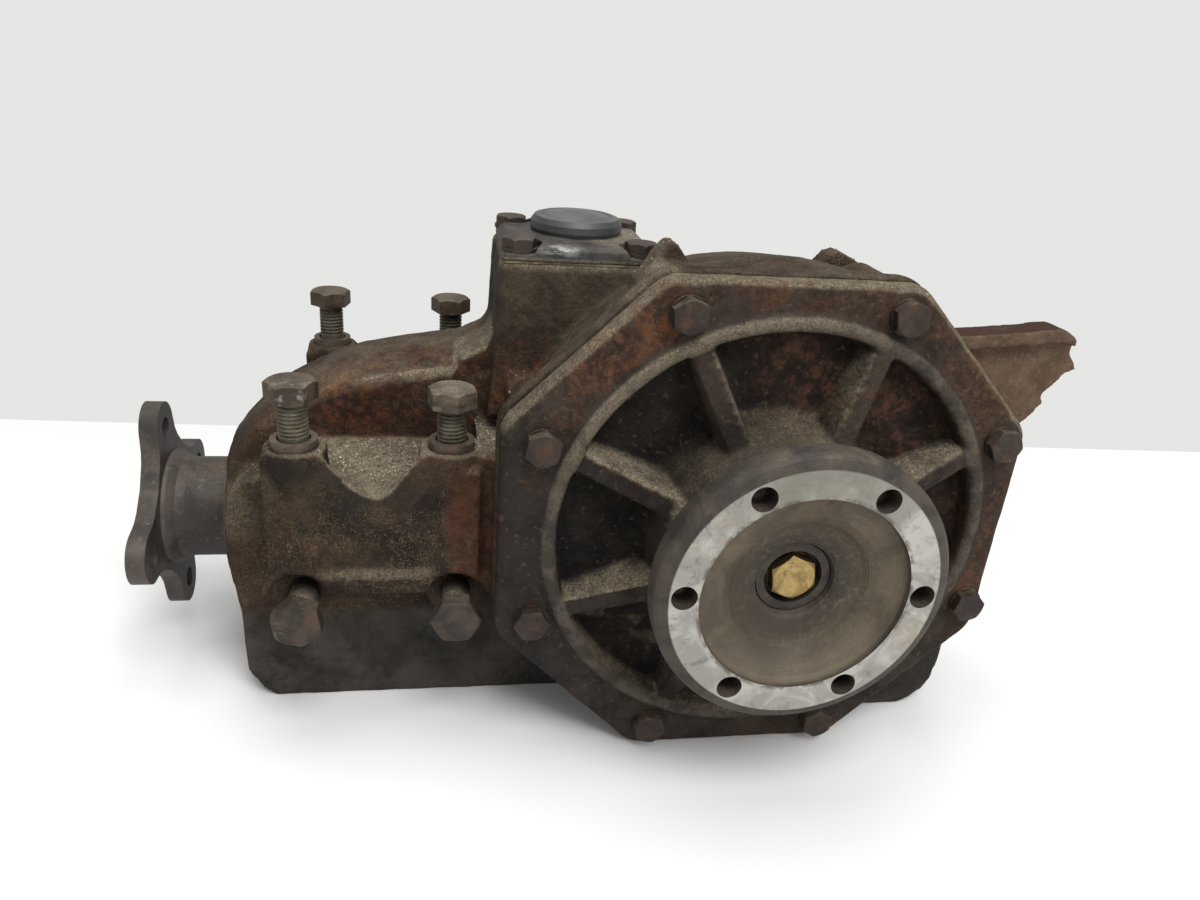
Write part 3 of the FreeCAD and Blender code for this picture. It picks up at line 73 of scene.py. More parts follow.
# ---------------------------------------------------------------------------
# shader graphs
# ---------------------------------------------------------------------------
class Surface:
    """A Principled material whose colour is painted on in layers.

    Masks are sockets from 0 to 1, places and sizes are in metres, colours linear RGB."""

    def __init__(self, name):
        self.mat = bpy.data.materials.new(name)
        self.mat.use_nodes = True
        self.tree = self.mat.node_tree
        self.tree.nodes.clear()
        self.shader = self.node("BsdfPrincipled")
        self.node("OutputMaterial", {0: self.shader.outputs[0]})
        self.pos = self.node("TexCoord").outputs["Object"]
        self.colour = None

    def put(self, socket, value):
        if isinstance(value, bpy.types.NodeSocket):
            self.tree.links.new(value, socket)
        elif isinstance(value, tuple) and len(socket.default_value) == 4:
            socket.default_value = (*value, 1.0)
        else:
            socket.default_value = value

    def node(self, kind, inputs=(), **settings):
        made = self.tree.nodes.new("ShaderNode" + kind)
        for key, value in settings.items():
            setattr(made, key, value)
        for key, value in dict(inputs).items():
            self.put(made.inputs[key], value)
        return made

    # place and surface direction, made only when asked for
    @cached_property
    def geometry(self):
        return self.node("NewGeometry").outputs

    @cached_property
    def facing(self):
        return self.node("SeparateXYZ", {0: self.geometry["Normal"]}).outputs

    @cached_property
    def place(self):
        return self.node("SeparateXYZ", {0: self.pos}).outputs

    ny = property(lambda self: self.facing[1])
    nz = property(lambda self: self.facing[2])
    px = property(lambda self: self.place[0])
    py = property(lambda self: self.place[1])
    pz = property(lambda self: self.place[2])

    # arithmetic
    def math(self, operation, a, b=0.0, clamp=False):
        return self.node("Math", {0: a, 1: b}, operation=operation, use_clamp=clamp).outputs[0]

    def mul(self, *values):
        return reduce(lambda a, b: self.math("MULTIPLY", a, b), values)

    def add(self, *values):
        return reduce(lambda a, b: self.math("ADD", a, b), values)

    def most(self, *values):
        return reduce(lambda a, b: self.math("MAXIMUM", a, b), values)

    def sub(self, a, b):
        return self.math("SUBTRACT", a, b)

    def inv(self, mask):
        return self.sub(1.0, mask)

    def abs(self, value):
        return self.math("ABSOLUTE", value)

    def capped_sum(self, a, b):
        return self.math("ADD", a, b, clamp=True)

    def vector(self, operation, a, b):
        return self.node("VectorMath", {0: a, 1: b}, operation=operation).outputs[0]

    def radius(self):
        """Distance from the Y axis."""
        squares = self.add(self.mul(self.px, self.px), self.mul(self.pz, self.pz))
        return self.math("SQRT", squares)

    # masks
    def ramp(self, value, start, end, low=0.0, high=1.0):
        """Eases from low to high as value goes from start to end."""
        return self.node("MapRange", enumerate((value, start, end, low, high)),
                         interpolation_type="SMOOTHSTEP", clamp=True).outputs[0]

    def noise(self, scale, detail=4.0, rough=0.55, warp=0.0, stretch=None, off=None):
        where = self.pos
        if stretch:
            where = self.vector("MULTIPLY", where, stretch)
        if off:
            where = self.vector("ADD", where, off)
        return self.node("TexNoise", {"Scale": scale, "Detail": detail, "Roughness": rough,
                                      "Distortion": warp, "Vector": where}).outputs["Fac"]

    def patches(self, scale, start, end, **grain):
        """Noise of the given scale, ramped from 0 at start to 1 at end."""
        return self.ramp(self.noise(scale, **grain), start, end)

    def spot(self, centre, inner, outer, squash=(1, 1, 1)):
        """1 within inner of the centre, fading to 0 at outer."""
        offset = self.vector("MULTIPLY", self.vector("SUBTRACT", self.pos, centre), squash)
        length = self.node("VectorMath", {0: offset}, operation="LENGTH").outputs["Value"]
        return self.ramp(length, inner, outer, 1.0, 0.0)

    # colour
    def mix(self, mask, under, over):
        return self.node("Mix", {0: mask, 6: under, 7: over},
                         data_type="RGBA", clamp_factor=True).outputs[2]

    def mottle(self, dark, light, scale, start, end, **grain):
        """Two colours blended by patches."""
        return self.mix(self.patches(scale, start, end, **grain), dark, light)

    def paint(self, colour, *masks):
        """Lay colour over what is there; the masks and strengths multiply."""
        self.colour = self.mix(self.mul(*masks), self.colour, colour)

    def dust(self, rough, amount, low, high, extra=None):
        """Beige dust: a film where the normal's Z passes low to high, thicker where
        extra asks, broken by sandy grain. Returns its mask and the new roughness."""
        origin = (0, 0, 0)
        depth = self.mul(self.ramp(self.nz, low, high),
                         self.patches(34, 0.34, 0.66, detail=5, rough=0.65, warp=0.3, off=origin),
                         amount, 0.50)
        if extra is not None:
            depth = self.capped_sum(depth, extra)
        clump = self.noise(150, detail=5, rough=0.72, warp=0.2, off=origin)
        film = self.mul(depth, self.ramp(clump, 0.26, 0.66, low=0.30, high=0.95), 0.92)
        grain = self.noise(1500, detail=3, rough=0.85, off=origin)
        salt = self.mul(self.sub(grain, 0.5), self.math("SQRT", film), 1.9)
        mask = self.mul(self.capped_sum(film, salt), self.ramp(depth, 0.01, 0.10))
        tone = self.mottle(DUST_DARK, DUST_LIGHT, 900, 0.36, 0.64,
                           detail=3, rough=0.8, off=(2, 2, 9))
        specks = self.patches(520, 0.56, 0.68, detail=3, rough=0.75, off=(8, 1, 5))
        tone = self.mix(self.mul(specks, 0.75), tone, (0.050, 0.038, 0.026))
        chalk = self.patches(700, 0.635, 0.70, detail=2, rough=0.6, off=(5, 3, 3))
        tone = self.mix(self.mul(chalk, self.ramp(depth, 0.45, 0.9), 0.75),
                        tone, (0.50, 0.46, 0.39))
        self.paint(tone, mask)
        return mask, self.capped_sum(rough, self.mul(mask, 0.2))

    def bump(self, height, distance, strength):
        return self.node("Bump", {"Strength": strength, "Distance": distance,
                                  "Height": height}).outputs[0]

    def done(self, rough, metal=0.0, spec=0.3, normal=None):
        sockets = self.shader.inputs
        self.put(sockets["Base Color"], self.colour)
        self.put(sockets["Roughness"], rough)
        self.put(sockets["Metallic"], metal)
        self.put(sockets["Specular IOR Level"], spec)
        if normal is not None:
            self.put(sockets["Normal"], normal)
        return self.mat


# ---------------------------------------------------------------------------
# cast iron
# ---------------------------------------------------------------------------
def cast_bump(g, dust, distance):
    """Sand-cast grain, raised a little where dust lies."""
    cells = g.node("TexVoronoi", {"Scale": 420, "Vector": g.pos}).outputs["Distance"]
    height = g.add(g.mul(g.noise(240, rough=0.65), 0.9),
                   g.mul(g.noise(900, detail=3, rough=0.6), 0.35),
                   g.mul(cells, 0.35),
                   g.mul(dust, 1.0, 0.55))
    return g.bump(height, distance=distance, strength=0.85)


def housing_iron():
    g = Surface("cast_housing")
    g.colour = g.mottle((0.014, 0.010, 0.008), (0.042, 0.029, 0.019), 55, 0.36, 0.64,
                        detail=5, rough=0.62, warp=0.4)
    g.paint((0.060, 0.034, 0.021), g.patches(13, 0.42, 0.66, rough=0.6), 0.5)
    # speckles of ochre and black in the sand skin
    where = g.patches(30, 0.38, 0.62, rough=0.65, off=(7, 7, 2))
    g.paint((0.100, 0.072, 0.040), g.patches(330, 0.52, 0.70, detail=3, rough=0.65), where, 0.55)
    g.paint((0.012, 0.009, 0.008),
            g.patches(640, 0.52, 0.66, detail=3, rough=0.7, off=(4, 4, 1)), 0.65)
    g.paint((0.180, 0.140, 0.084),
            g.patches(1150, 0.53, 0.66, detail=3, rough=0.8, off=(1, 6, 1)),
            g.add(0.12, g.mul(where, 0.55)))
    # tarry black patches
    g.paint((0.020, 0.018, 0.017),
            g.patches(24, 0.54, 0.68, detail=3, rough=0.6, off=(3, 1, 7)), 0.55)
    # red-brown: wall behind the scoop, pilaster by the cover, foot of the tower
    red = g.most(g.spot((-0.160, 0.117, 0.040), 0.012, 0.046, squash=(0.55, 1, 1)),
                 g.mul(g.spot((-0.119, 0.070, -0.010), 0.012, 0.026, squash=(1.5, 1, 0.55)), 0.95),
                 g.spot((-0.097, 0.100, 0.040), 0.008, 0.030),
                 g.mul(g.spot((-0.075, 0.062, 0.088), 0.02, 0.05, squash=(0.6, 1, 1)), 0.35))
    g.paint(g.mottle((0.020, 0.010, 0.007), (0.080, 0.030, 0.016), 260, 0.40, 0.64, rough=0.7),
            red, g.patches(48, 0.28, 0.52, detail=5, rough=0.66, warp=0.6), 0.88)
    # red-brown strip down the near face of the pilaster
    ragged_x = g.add(g.px, g.mul(g.noise(160, detail=3, rough=0.6), 0.003))
    g.paint(g.mottle((0.034, 0.015, 0.010), (0.070, 0.029, 0.016), 180, 0.36, 0.62, rough=0.7),
            g.ramp(ragged_x, -0.1325, -0.1265), g.ramp(g.px, -0.1085, -0.1105),
            g.ramp(g.pz, -0.036, -0.031), g.ramp(g.pz, 0.020, 0.013),
            g.ramp(g.ny, -0.55, -0.85), g.ramp(g.py, 0.085, 0.078), 0.75)
    # orange rust blooms
    g.paint((0.165, 0.062, 0.022),
            g.most(g.spot((-0.092, 0.085, 0.066), 0.006, 0.03),
                   g.spot((-0.185, 0.117, 0.045), 0.004, 0.03),
                   g.spot((-0.104, 0.104, 0.036), 0.003, 0.018)),
            g.patches(120, 0.50, 0.66, rough=0.7), 0.7)
    # side arm: smoother, lighter brown, with painted shade where it turns from the near side
    arm = g.mul(g.ramp(g.px, 0.092, 0.108), g.ramp(g.pz, -0.02, 0.01))
    brown = g.mottle((0.068, 0.042, 0.027), (0.108, 0.073, 0.048), 70, 0.35, 0.65, rough=0.6)
    flecks = g.patches(420, 0.52, 0.66, detail=3, rough=0.65)
    brown = g.mix(g.mul(flecks, 0.4), brown, (0.165, 0.125, 0.090))
    # painted shade: darker where the arm's surface turns away from the near side
    g.paint(g.mix(g.ramp(g.ny, -0.75, -0.3), brown, (0.040, 0.021, 0.015)), arm)
    # low skirt: greyed
    skirt = g.ramp(g.pz, -0.058, -0.066)
    g.paint(g.mottle((0.024, 0.022, 0.020), (0.055, 0.050, 0.045), 30, 0.36, 0.64,
                     rough=0.65, warp=0.5), skirt, 0.8)
    # tower: greyish brown
    g.paint(g.mottle((0.020, 0.017, 0.013), (0.056, 0.046, 0.033), 90, 0.36, 0.62,
                     detail=5, rough=0.66),
            g.ramp(g.pz, 0.056, 0.066), g.ramp(g.px, -0.040, -0.052), 0.6)
    # dark pits and stains, then worn, lighter edges
    g.paint((0.010, 0.008, 0.007),
            g.patches(70, 0.54, 0.66, detail=5, rough=0.75, warp=0.4, off=(9, 9, 4)),
            g.inv(arm), 0.45)
    g.paint((0.105, 0.082, 0.060), g.ramp(g.geometry["Pointiness"], 0.53, 0.60), 0.34)
    # where dust gathers; each mask ends in its strengths
    scoop = g.mul(g.spot((-0.160, 0.090, 0.010), 0.020, 0.042, squash=(0.8, 0.8, 1.0)),
                  g.ramp(g.nz, 0.15, 0.75), 1.25, 1.0)
    pad = g.mul(g.spot((-0.119, 0.088, 0.030), 0.010, 0.026), g.ramp(g.nz, 0.15, 0.75), 1.05)
    rim = g.mul(g.most(g.spot((-0.207, 0.085, 0.012), 0.004, 0.022),
                       g.spot((-0.222, 0.10, -0.010), 0.004, 0.024)), 0.55)
    crest = g.mul(g.ramp(g.px, -0.215, -0.185), g.ramp(g.px, -0.076, -0.088),
                  g.ramp(g.py, 0.107, 0.112), g.ramp(g.pz, 0.034, 0.046),
                  g.ramp(g.nz, 0.22, 0.50), g.ramp(g.nz, 0.96, 0.84),
                  g.ramp(g.py, 0.150, 0.138), 1.15, 0.76)
    sill = g.mul(g.spot((-0.160, 0.083, -0.034), 0.012, 0.040, squash=(0.8, 1.2, 2.6)),
                 g.ramp(g.nz, 0.1, 0.5), 0.6)
    joint = g.mul(g.ramp(g.pz, 0.093, 0.0965), g.ramp(g.px, -0.044, -0.05), 0.55)
    wall = g.mul(g.patches(20, 0.46, 0.66, detail=3, rough=0.6, off=(5, 2, 1)),
                 g.patches(160, 0.35, 0.6, rough=0.7, off=(5, 5, 1)), 0.20,
                 g.ramp(g.nz, -0.6, 0.5))
    extra = g.mul(g.capped_sum(g.most(scoop, pad, rim, crest, sill, joint), wall),
                  g.inv(g.mul(skirt, 0.8)), g.inv(g.mul(arm, 0.8)))
    dust, rough = g.dust(g.add(0.70, g.mul(g.noise(80, detail=3), 0.2)),
                         amount=g.sub(0.80, g.mul(arm, 0.6)), low=0.25, high=0.95, extra=extra)
    # the arm and the skirt are smoother
    normal = cast_bump(g, dust, distance=0.0009)
    coarse = g.inv(g.mul(g.most(arm, g.mul(skirt, 0.7)), 0.75))
    g.put(normal.node.inputs["Strength"], g.mul(coarse, 0.85))
    return g.done(rough, spec=0.10, normal=normal)


def cover_iron():
    g = Surface("cast_cover")
    r = g.radius()
    g.colour = g.mottle((0.016, 0.013, 0.011), (0.038, 0.030, 0.024), 60, 0.36, 0.66,
                        detail=5, rough=0.62, warp=0.4)
    g.paint((0.016, 0.015, 0.015), g.ramp(g.px, -0.060, -0.095), g.ramp(g.pz, 0.060, 0.030), 0.6)
    g.paint((0.062, 0.038, 0.026), g.patches(15, 0.42, 0.68, rough=0.6, off=(1, 4, 2)), 0.40)
    # sunken floor: painted shade, near black, with pale flecks and red rust at the upper right
    deep = g.mul(g.ramp(r, 0.0885, 0.0865), g.ramp(g.py, 0.046, 0.051))
    # painted shade: the recessed floor is painted near black
    g.paint(g.mottle((0.0045, 0.0040, 0.0038), (0.0150, 0.0120, 0.0095), 85, 0.38, 0.66,
                     detail=5, rough=0.7), deep, 0.85)
    g.paint((0.085, 0.062, 0.038),
            g.patches(640, 0.62, 0.70, rough=0.75, off=(3, 3, 3)), deep, 0.55)
    g.paint(g.mottle((0.022, 0.013, 0.010), (0.080, 0.036, 0.022), 210, 0.42, 0.62, rough=0.72),
            g.most(g.spot((0.012, 0.053, 0.072), 0.012, 0.034),
                   g.spot((0.056, 0.053, 0.055), 0.010, 0.032),
                   g.spot((0.080, 0.053, 0.004), 0.004, 0.022)),
            g.patches(70, 0.36, 0.58, detail=5, rough=0.7, warp=0.5), 0.85)
    # rim: red-brown along the top, right and upper left, then black smut and orange
    rim = g.ramp(r, 0.095, 0.099)
    top_rust = g.mul(g.ramp(g.pz, 0.05, 0.09), rim, 0.75)
    right_rust = g.mul(g.most(g.ramp(g.px, 0.085, 0.098),
                              g.spot((0.085, 0.046, 0.065), 0.02, 0.05)),
                       rim, g.ramp(g.pz, -0.07, -0.03), 0.9)
    left_rust = g.mul(g.spot((-0.074, 0.046, 0.070), 0.018, 0.050), rim)
    g.paint(g.mottle((0.034, 0.018, 0.012), (0.086, 0.043, 0.026), 240, 0.4, 0.62, rough=0.7),
            g.most(top_rust, right_rust, left_rust),
            g.patches(42, 0.33, 0.60, detail=5, rough=0.66, warp=0.6), 0.8)
    g.paint((0.014, 0.011, 0.009), g.spot((-0.070, 0.046, 0.074), 0.02, 0.065), rim,
            g.patches(95, 0.46, 0.62, detail=5, rough=0.72, warp=0.7, off=(6, 2, 9)), 0.75)
    g.paint((0.140, 0.053, 0.019),
            g.most(g.spot((-0.062, 0.046, 0.080), 0.012, 0.034),
                   g.spot((-0.095, 0.046, 0.030), 0.002, 0.014),
                   g.mul(g.spot((0.104, 0.046, -0.020), 0.006, 0.030), 0.8),
                   g.mul(g.spot((-0.010, 0.046, 0.098), 0.004, 0.022), 0.5)),
            rim, g.patches(110, 0.46, 0.66, detail=5, rough=0.72, warp=0.5), 0.52)
    # ring crest and edges rubbed grey, then flecks
    ring_radius = 0.0918
    crown = g.mul(g.ramp(g.abs(g.sub(r, ring_radius)), 0.0040, 0.0022),
                  g.ramp(g.py, 0.0455, 0.0440))
    g.paint(g.mottle((0.047, 0.040, 0.033), (0.092, 0.077, 0.061), 130, 0.4, 0.6, rough=0.6),
            crown, 0.75)
    g.paint((0.085, 0.066, 0.050), g.ramp(g.geometry["Pointiness"], 0.53, 0.60), 0.30)
    g.paint((0.105, 0.078, 0.046), g.patches(330, 0.58, 0.70, detail=3, rough=0.65), 0.40)
    g.paint((0.011, 0.009, 0.008),
            g.patches(640, 0.55, 0.66, detail=3, rough=0.7, off=(4, 4, 1)), 0.5)
    # where dust gathers: upward sides of the ribs, bevel of the rim, ring and hub
    ribs = g.mul(g.ramp(r, 0.0905, 0.088), g.ramp(g.nz, 0.18, 0.75),
                 g.ramp(g.py, 0.0545, 0.050), g.ramp(r, 0.052, 0.062), 1.0)
    # distance from the two ribs 22.5 degrees off level
    rib_gaps = [g.abs(g.add(g.mul(g.px, slope), g.mul(g.pz, 0.9239)))
                for slope in (0.3827, -0.3827)]
    level_ribs = g.mul(g.ramp(g.math("MINIMUM", *rib_gaps), 0.0085, 0.0055),
                       g.ramp(r, 0.043, 0.048), g.ramp(r, 0.0905, 0.088),
                       g.ramp(g.nz, 0.10, 0.50), g.ramp(g.py, 0.0545, 0.050), 1.0)
    bevel = g.mul(g.ramp(r, 0.1000, 0.1035), g.ramp(g.ny, -0.97, -0.80),
                  g.ramp(g.nz, 0.02, 0.35), 0.62)
    ring_top = g.mul(g.ramp(g.pz, 0.0, 0.06), crown, g.ramp(g.px, 0.06, -0.01), 0.70)
    hub_top = g.mul(g.ramp(r, 0.066, 0.058), g.ramp(g.nz, 0.35, 0.9),
                    g.most(g.mul(g.spot((0.010, 0.045, 0.056), 0.004, 0.026), 0.60), 0.12), 0.70)
    low_floor = g.mul(g.ramp(g.pz, -0.02, -0.04), deep,
                      g.patches(45, 0.5, 0.62, detail=3, rough=0.6), 0.45)
    extra = g.most(g.most(ribs, level_ribs), bevel, ring_top, hub_top, low_floor)
    dust, rough = g.dust(g.add(0.68, g.mul(g.noise(80, detail=3), 0.2)), amount=0.5,
                         low=0.12, high=0.85, extra=g.capped_sum(extra, 0.0))
    return g.done(rough, spec=0.10, normal=cast_bump(g, dust, distance=0.000765))


def tower_plate():
    g = Surface("tower_plate")
    g.colour = g.mottle((0.016, 0.015, 0.015), (0.040, 0.036, 0.031), 85, 0.36, 0.66,
                        detail=5, rough=0.62, warp=0.4)
    extra = g.most(g.mul(g.spot((-0.052, 0.128, 0.104), 0.012, 0.030), 0.8),
                   g.mul(g.ramp(g.pz, 0.1003, 0.0988), 0.75))
    dust, rough = g.dust(0.55, amount=0.55, low=0.3, high=0.95, extra=extra)
    # bright scrape, on top of the dust
    scrape = g.mul(g.spot((-0.086, 0.1045, 0.1030), 0.001, 0.0080, squash=(0.62, 1, 2.2)),
                   g.patches(190, 0.42, 0.56, detail=3, rough=0.6, stretch=(0.5, 1, 2.2)), 0.8)
    g.paint((0.34, 0.34, 0.33), scrape, 0.8)
    height = g.add(g.mul(g.noise(300, rough=0.6), 0.8), g.mul(dust, 0.5))
    return g.done(g.sub(rough, g.mul(scrape, 0.25)), metal=g.mul(scrape, 0.5),
                  normal=g.bump(height, distance=0.0006, strength=0.8))


# ---------------------------------------------------------------------------
# gaskets, rubber and fasteners
# ---------------------------------------------------------------------------
def gasket(name, dark, light, scale, rough, spec):
    g = Surface(name)
    g.colour = g.mottle(dark, light, scale, 0.35, 0.65, rough=0.7)
    return g.done(rough, spec=spec,
                  normal=g.bump(g.noise(800, detail=3), distance=0.0003, strength=0.6))


def oily_steel():
    """Washer down in the flange's recess: oily brown."""
    g = Surface("oily_steel")
    blotch = g.noise(170, rough=0.6)
    g.colour = g.mix(g.ramp(blotch, 0.35, 0.65), (0.018, 0.014, 0.011), (0.048, 0.036, 0.026))
    return g.done(g.add(0.5, g.mul(blotch, 0.2)), metal=0.2, spec=0.4,
                  normal=g.bump(g.noise(500, detail=3), distance=0.0003, strength=0.6))


def black_rubber():
    """Black, with painted light: lighter grey where it faces up."""
    g = Surface("black_rubber")
    up = g.ramp(g.nz, 0.6, 0.97)
    g.colour = g.mottle((0.020, 0.021, 0.022), (0.040, 0.041, 0.042), 60, 0.35, 0.7, rough=0.6)
    # painted light: lighter grey on the faces that point up
    g.paint(g.mottle((0.050, 0.051, 0.052), (0.098, 0.099, 0.098), 45, 0.3, 0.7,
                     detail=3, rough=0.5), up, 0.75)
    dust, rough = g.dust(0.50, amount=0.25, low=0.2, high=0.95)
    height = g.add(g.noise(260, detail=3, rough=0.5), g.mul(dust, 0.3))
    return g.done(g.sub(rough, g.mul(up, 0.06)), spec=0.5,
                  normal=g.bump(height, distance=0.00025, strength=0.5))


def finish_fastener(g, dust, rough, metal, spec):
    """Pitted steel that loses its metal look under dust."""
    height = g.add(g.noise(380, rough=0.65), g.mul(dust, 0.6))
    return g.done(rough, metal=g.sub(metal, g.mul(dust, metal)), spec=spec,
                  normal=g.bump(height, distance=0.0004, strength=0.7))


def screw_steel(name, dark, light, dusty, rust):
    """Weathered fasteners: mottled plating, rust blooms, dust on top."""
    g = Surface(name)
    blotch = g.noise(110, detail=5, rough=0.65, warp=0.3)
    g.colour = g.mix(g.ramp(blotch, 0.34, 0.66), dark, light)
    g.paint((0.120, 0.052, 0.026),
            g.patches(160, 0.52, 0.66, rough=0.7, warp=0.5, off=(2, 9, 4)), rust)
    g.paint((0.020, 0.018, 0.016), g.patches(420, 0.56, 0.70, detail=3, rough=0.6), 0.35)
    dust, rough = g.dust(g.add(0.46, g.mul(blotch, 0.3)), amount=dusty, low=0.25, high=0.9)
    return finish_fastener(g, dust, rough, metal=0.45, spec=0.5)


def nose_bolt_steel():
    """Long vertical screws: brown dusty heads, olive-grey threaded shanks."""
    g = Surface("zinc_grey_nose")
    blotch = g.noise(120, detail=5, rough=0.65, warp=0.3)
    head = g.mix(g.ramp(blotch, 0.34, 0.66), (0.036, 0.025, 0.017), (0.088, 0.064, 0.043))
    shank = g.mottle((0.044, 0.038, 0.024), (0.118, 0.104, 0.074), 190, 0.35, 0.65, rough=0.6)
    g.colour = g.mix(g.ramp(g.pz, 0.0470, 0.0462), head, shank)
    # worn pale edge on one head, then dark flecks
    g.paint((0.26, 0.24, 0.21), g.spot((-0.192, 0.068, 0.049), 0.004, 0.013),
            g.patches(240, 0.54, 0.64, detail=3, rough=0.5), 0.6)
    g.paint((0.045, 0.036, 0.028), g.patches(520, 0.58, 0.7, detail=3), 0.5)
    # the near right screw is dustier
    dusty = g.mul(g.ramp(g.px, -0.150, -0.135), g.ramp(g.py, 0.105, 0.09))
    dust, rough = g.dust(g.add(0.50, g.mul(blotch, 0.2)), amount=g.add(0.75, g.mul(dusty, 0.5)),
                         low=0.2, high=0.9, extra=g.mul(dusty, g.ramp(g.pz, 0.047, 0.050), 0.35))
    return finish_fastener(g, dust, rough, metal=0.35, spec=0.4)


def side_bolt_steel():
    """Low horizontal screws: darker, with a bright scrape and a rust bloom."""
    g = Surface("dark_steel_side")
    blotch = g.noise(120, detail=5, rough=0.65, warp=0.3)
    g.colour = g.mix(g.ramp(blotch, 0.34, 0.66), (0.026, 0.020, 0.016), (0.060, 0.044, 0.033))
    g.paint((0.36, 0.34, 0.31),
            g.spot((-0.203, 0.054, -0.050), 0.001, 0.007, squash=(1, 0.3, 0.6)),
            g.patches(330, 0.54, 0.66, detail=3, rough=0.6, stretch=(1, 1, 3)), 0.45)
    rust = g.mul(g.spot((-0.183, 0.058, -0.044), 0.003, 0.010),
                 g.patches(200, 0.42, 0.56, detail=3))
    g.paint((0.12, 0.050, 0.024), rust, 0.3)
    # dust on top of the shanks, just beyond the heads
    extra = g.mul(g.ramp(g.py, SIDE_SHANK_Y, SIDE_SHANK_Y + 0.0015), g.ramp(g.nz, 0.1, 0.7),
                  g.ramp(g.py, SIDE_SHANK_Y + 0.016, SIDE_SHANK_Y + 0.008), 1.1)
    dust, rough = g.dust(g.add(0.50, g.mul(blotch, 0.2)), amount=0.85,
                         low=0.2, high=0.9, extra=extra)
    return finish_fastener(g, dust, rough, metal=0.35, spec=0.4)


def gold_zinc():
    """Yellow plating, with painted shade on the sides and down in the socket."""
    g = Surface("zinc_yellow")
    blotch = g.noise(150, detail=5, rough=0.66, warp=0.4)
    g.colour = g.mix(g.ramp(blotch, 0.34, 0.66), (0.225, 0.145, 0.050), (0.420, 0.310, 0.125))
    g.paint((0.130, 0.082, 0.035), g.patches(420, 0.55, 0.66, rough=0.7), 0.6)
    # painted shade: dark on the sides and down in the socket
    side = g.inv(g.ramp(g.abs(g.ny), 0.75, 0.96))
    deep = g.ramp(g.py, GOLD_BOLT_Y + 0.0008, GOLD_BOLT_Y + 0.0022)
    g.paint((0.040, 0.026, 0.013), g.most(side, deep), 0.9)
    return g.done(g.add(0.36, g.mul(blotch, 0.25)), metal=0.72, spec=0.5,
                  normal=g.bump(g.noise(500, rough=0.6), distance=0.0003, strength=0.7))


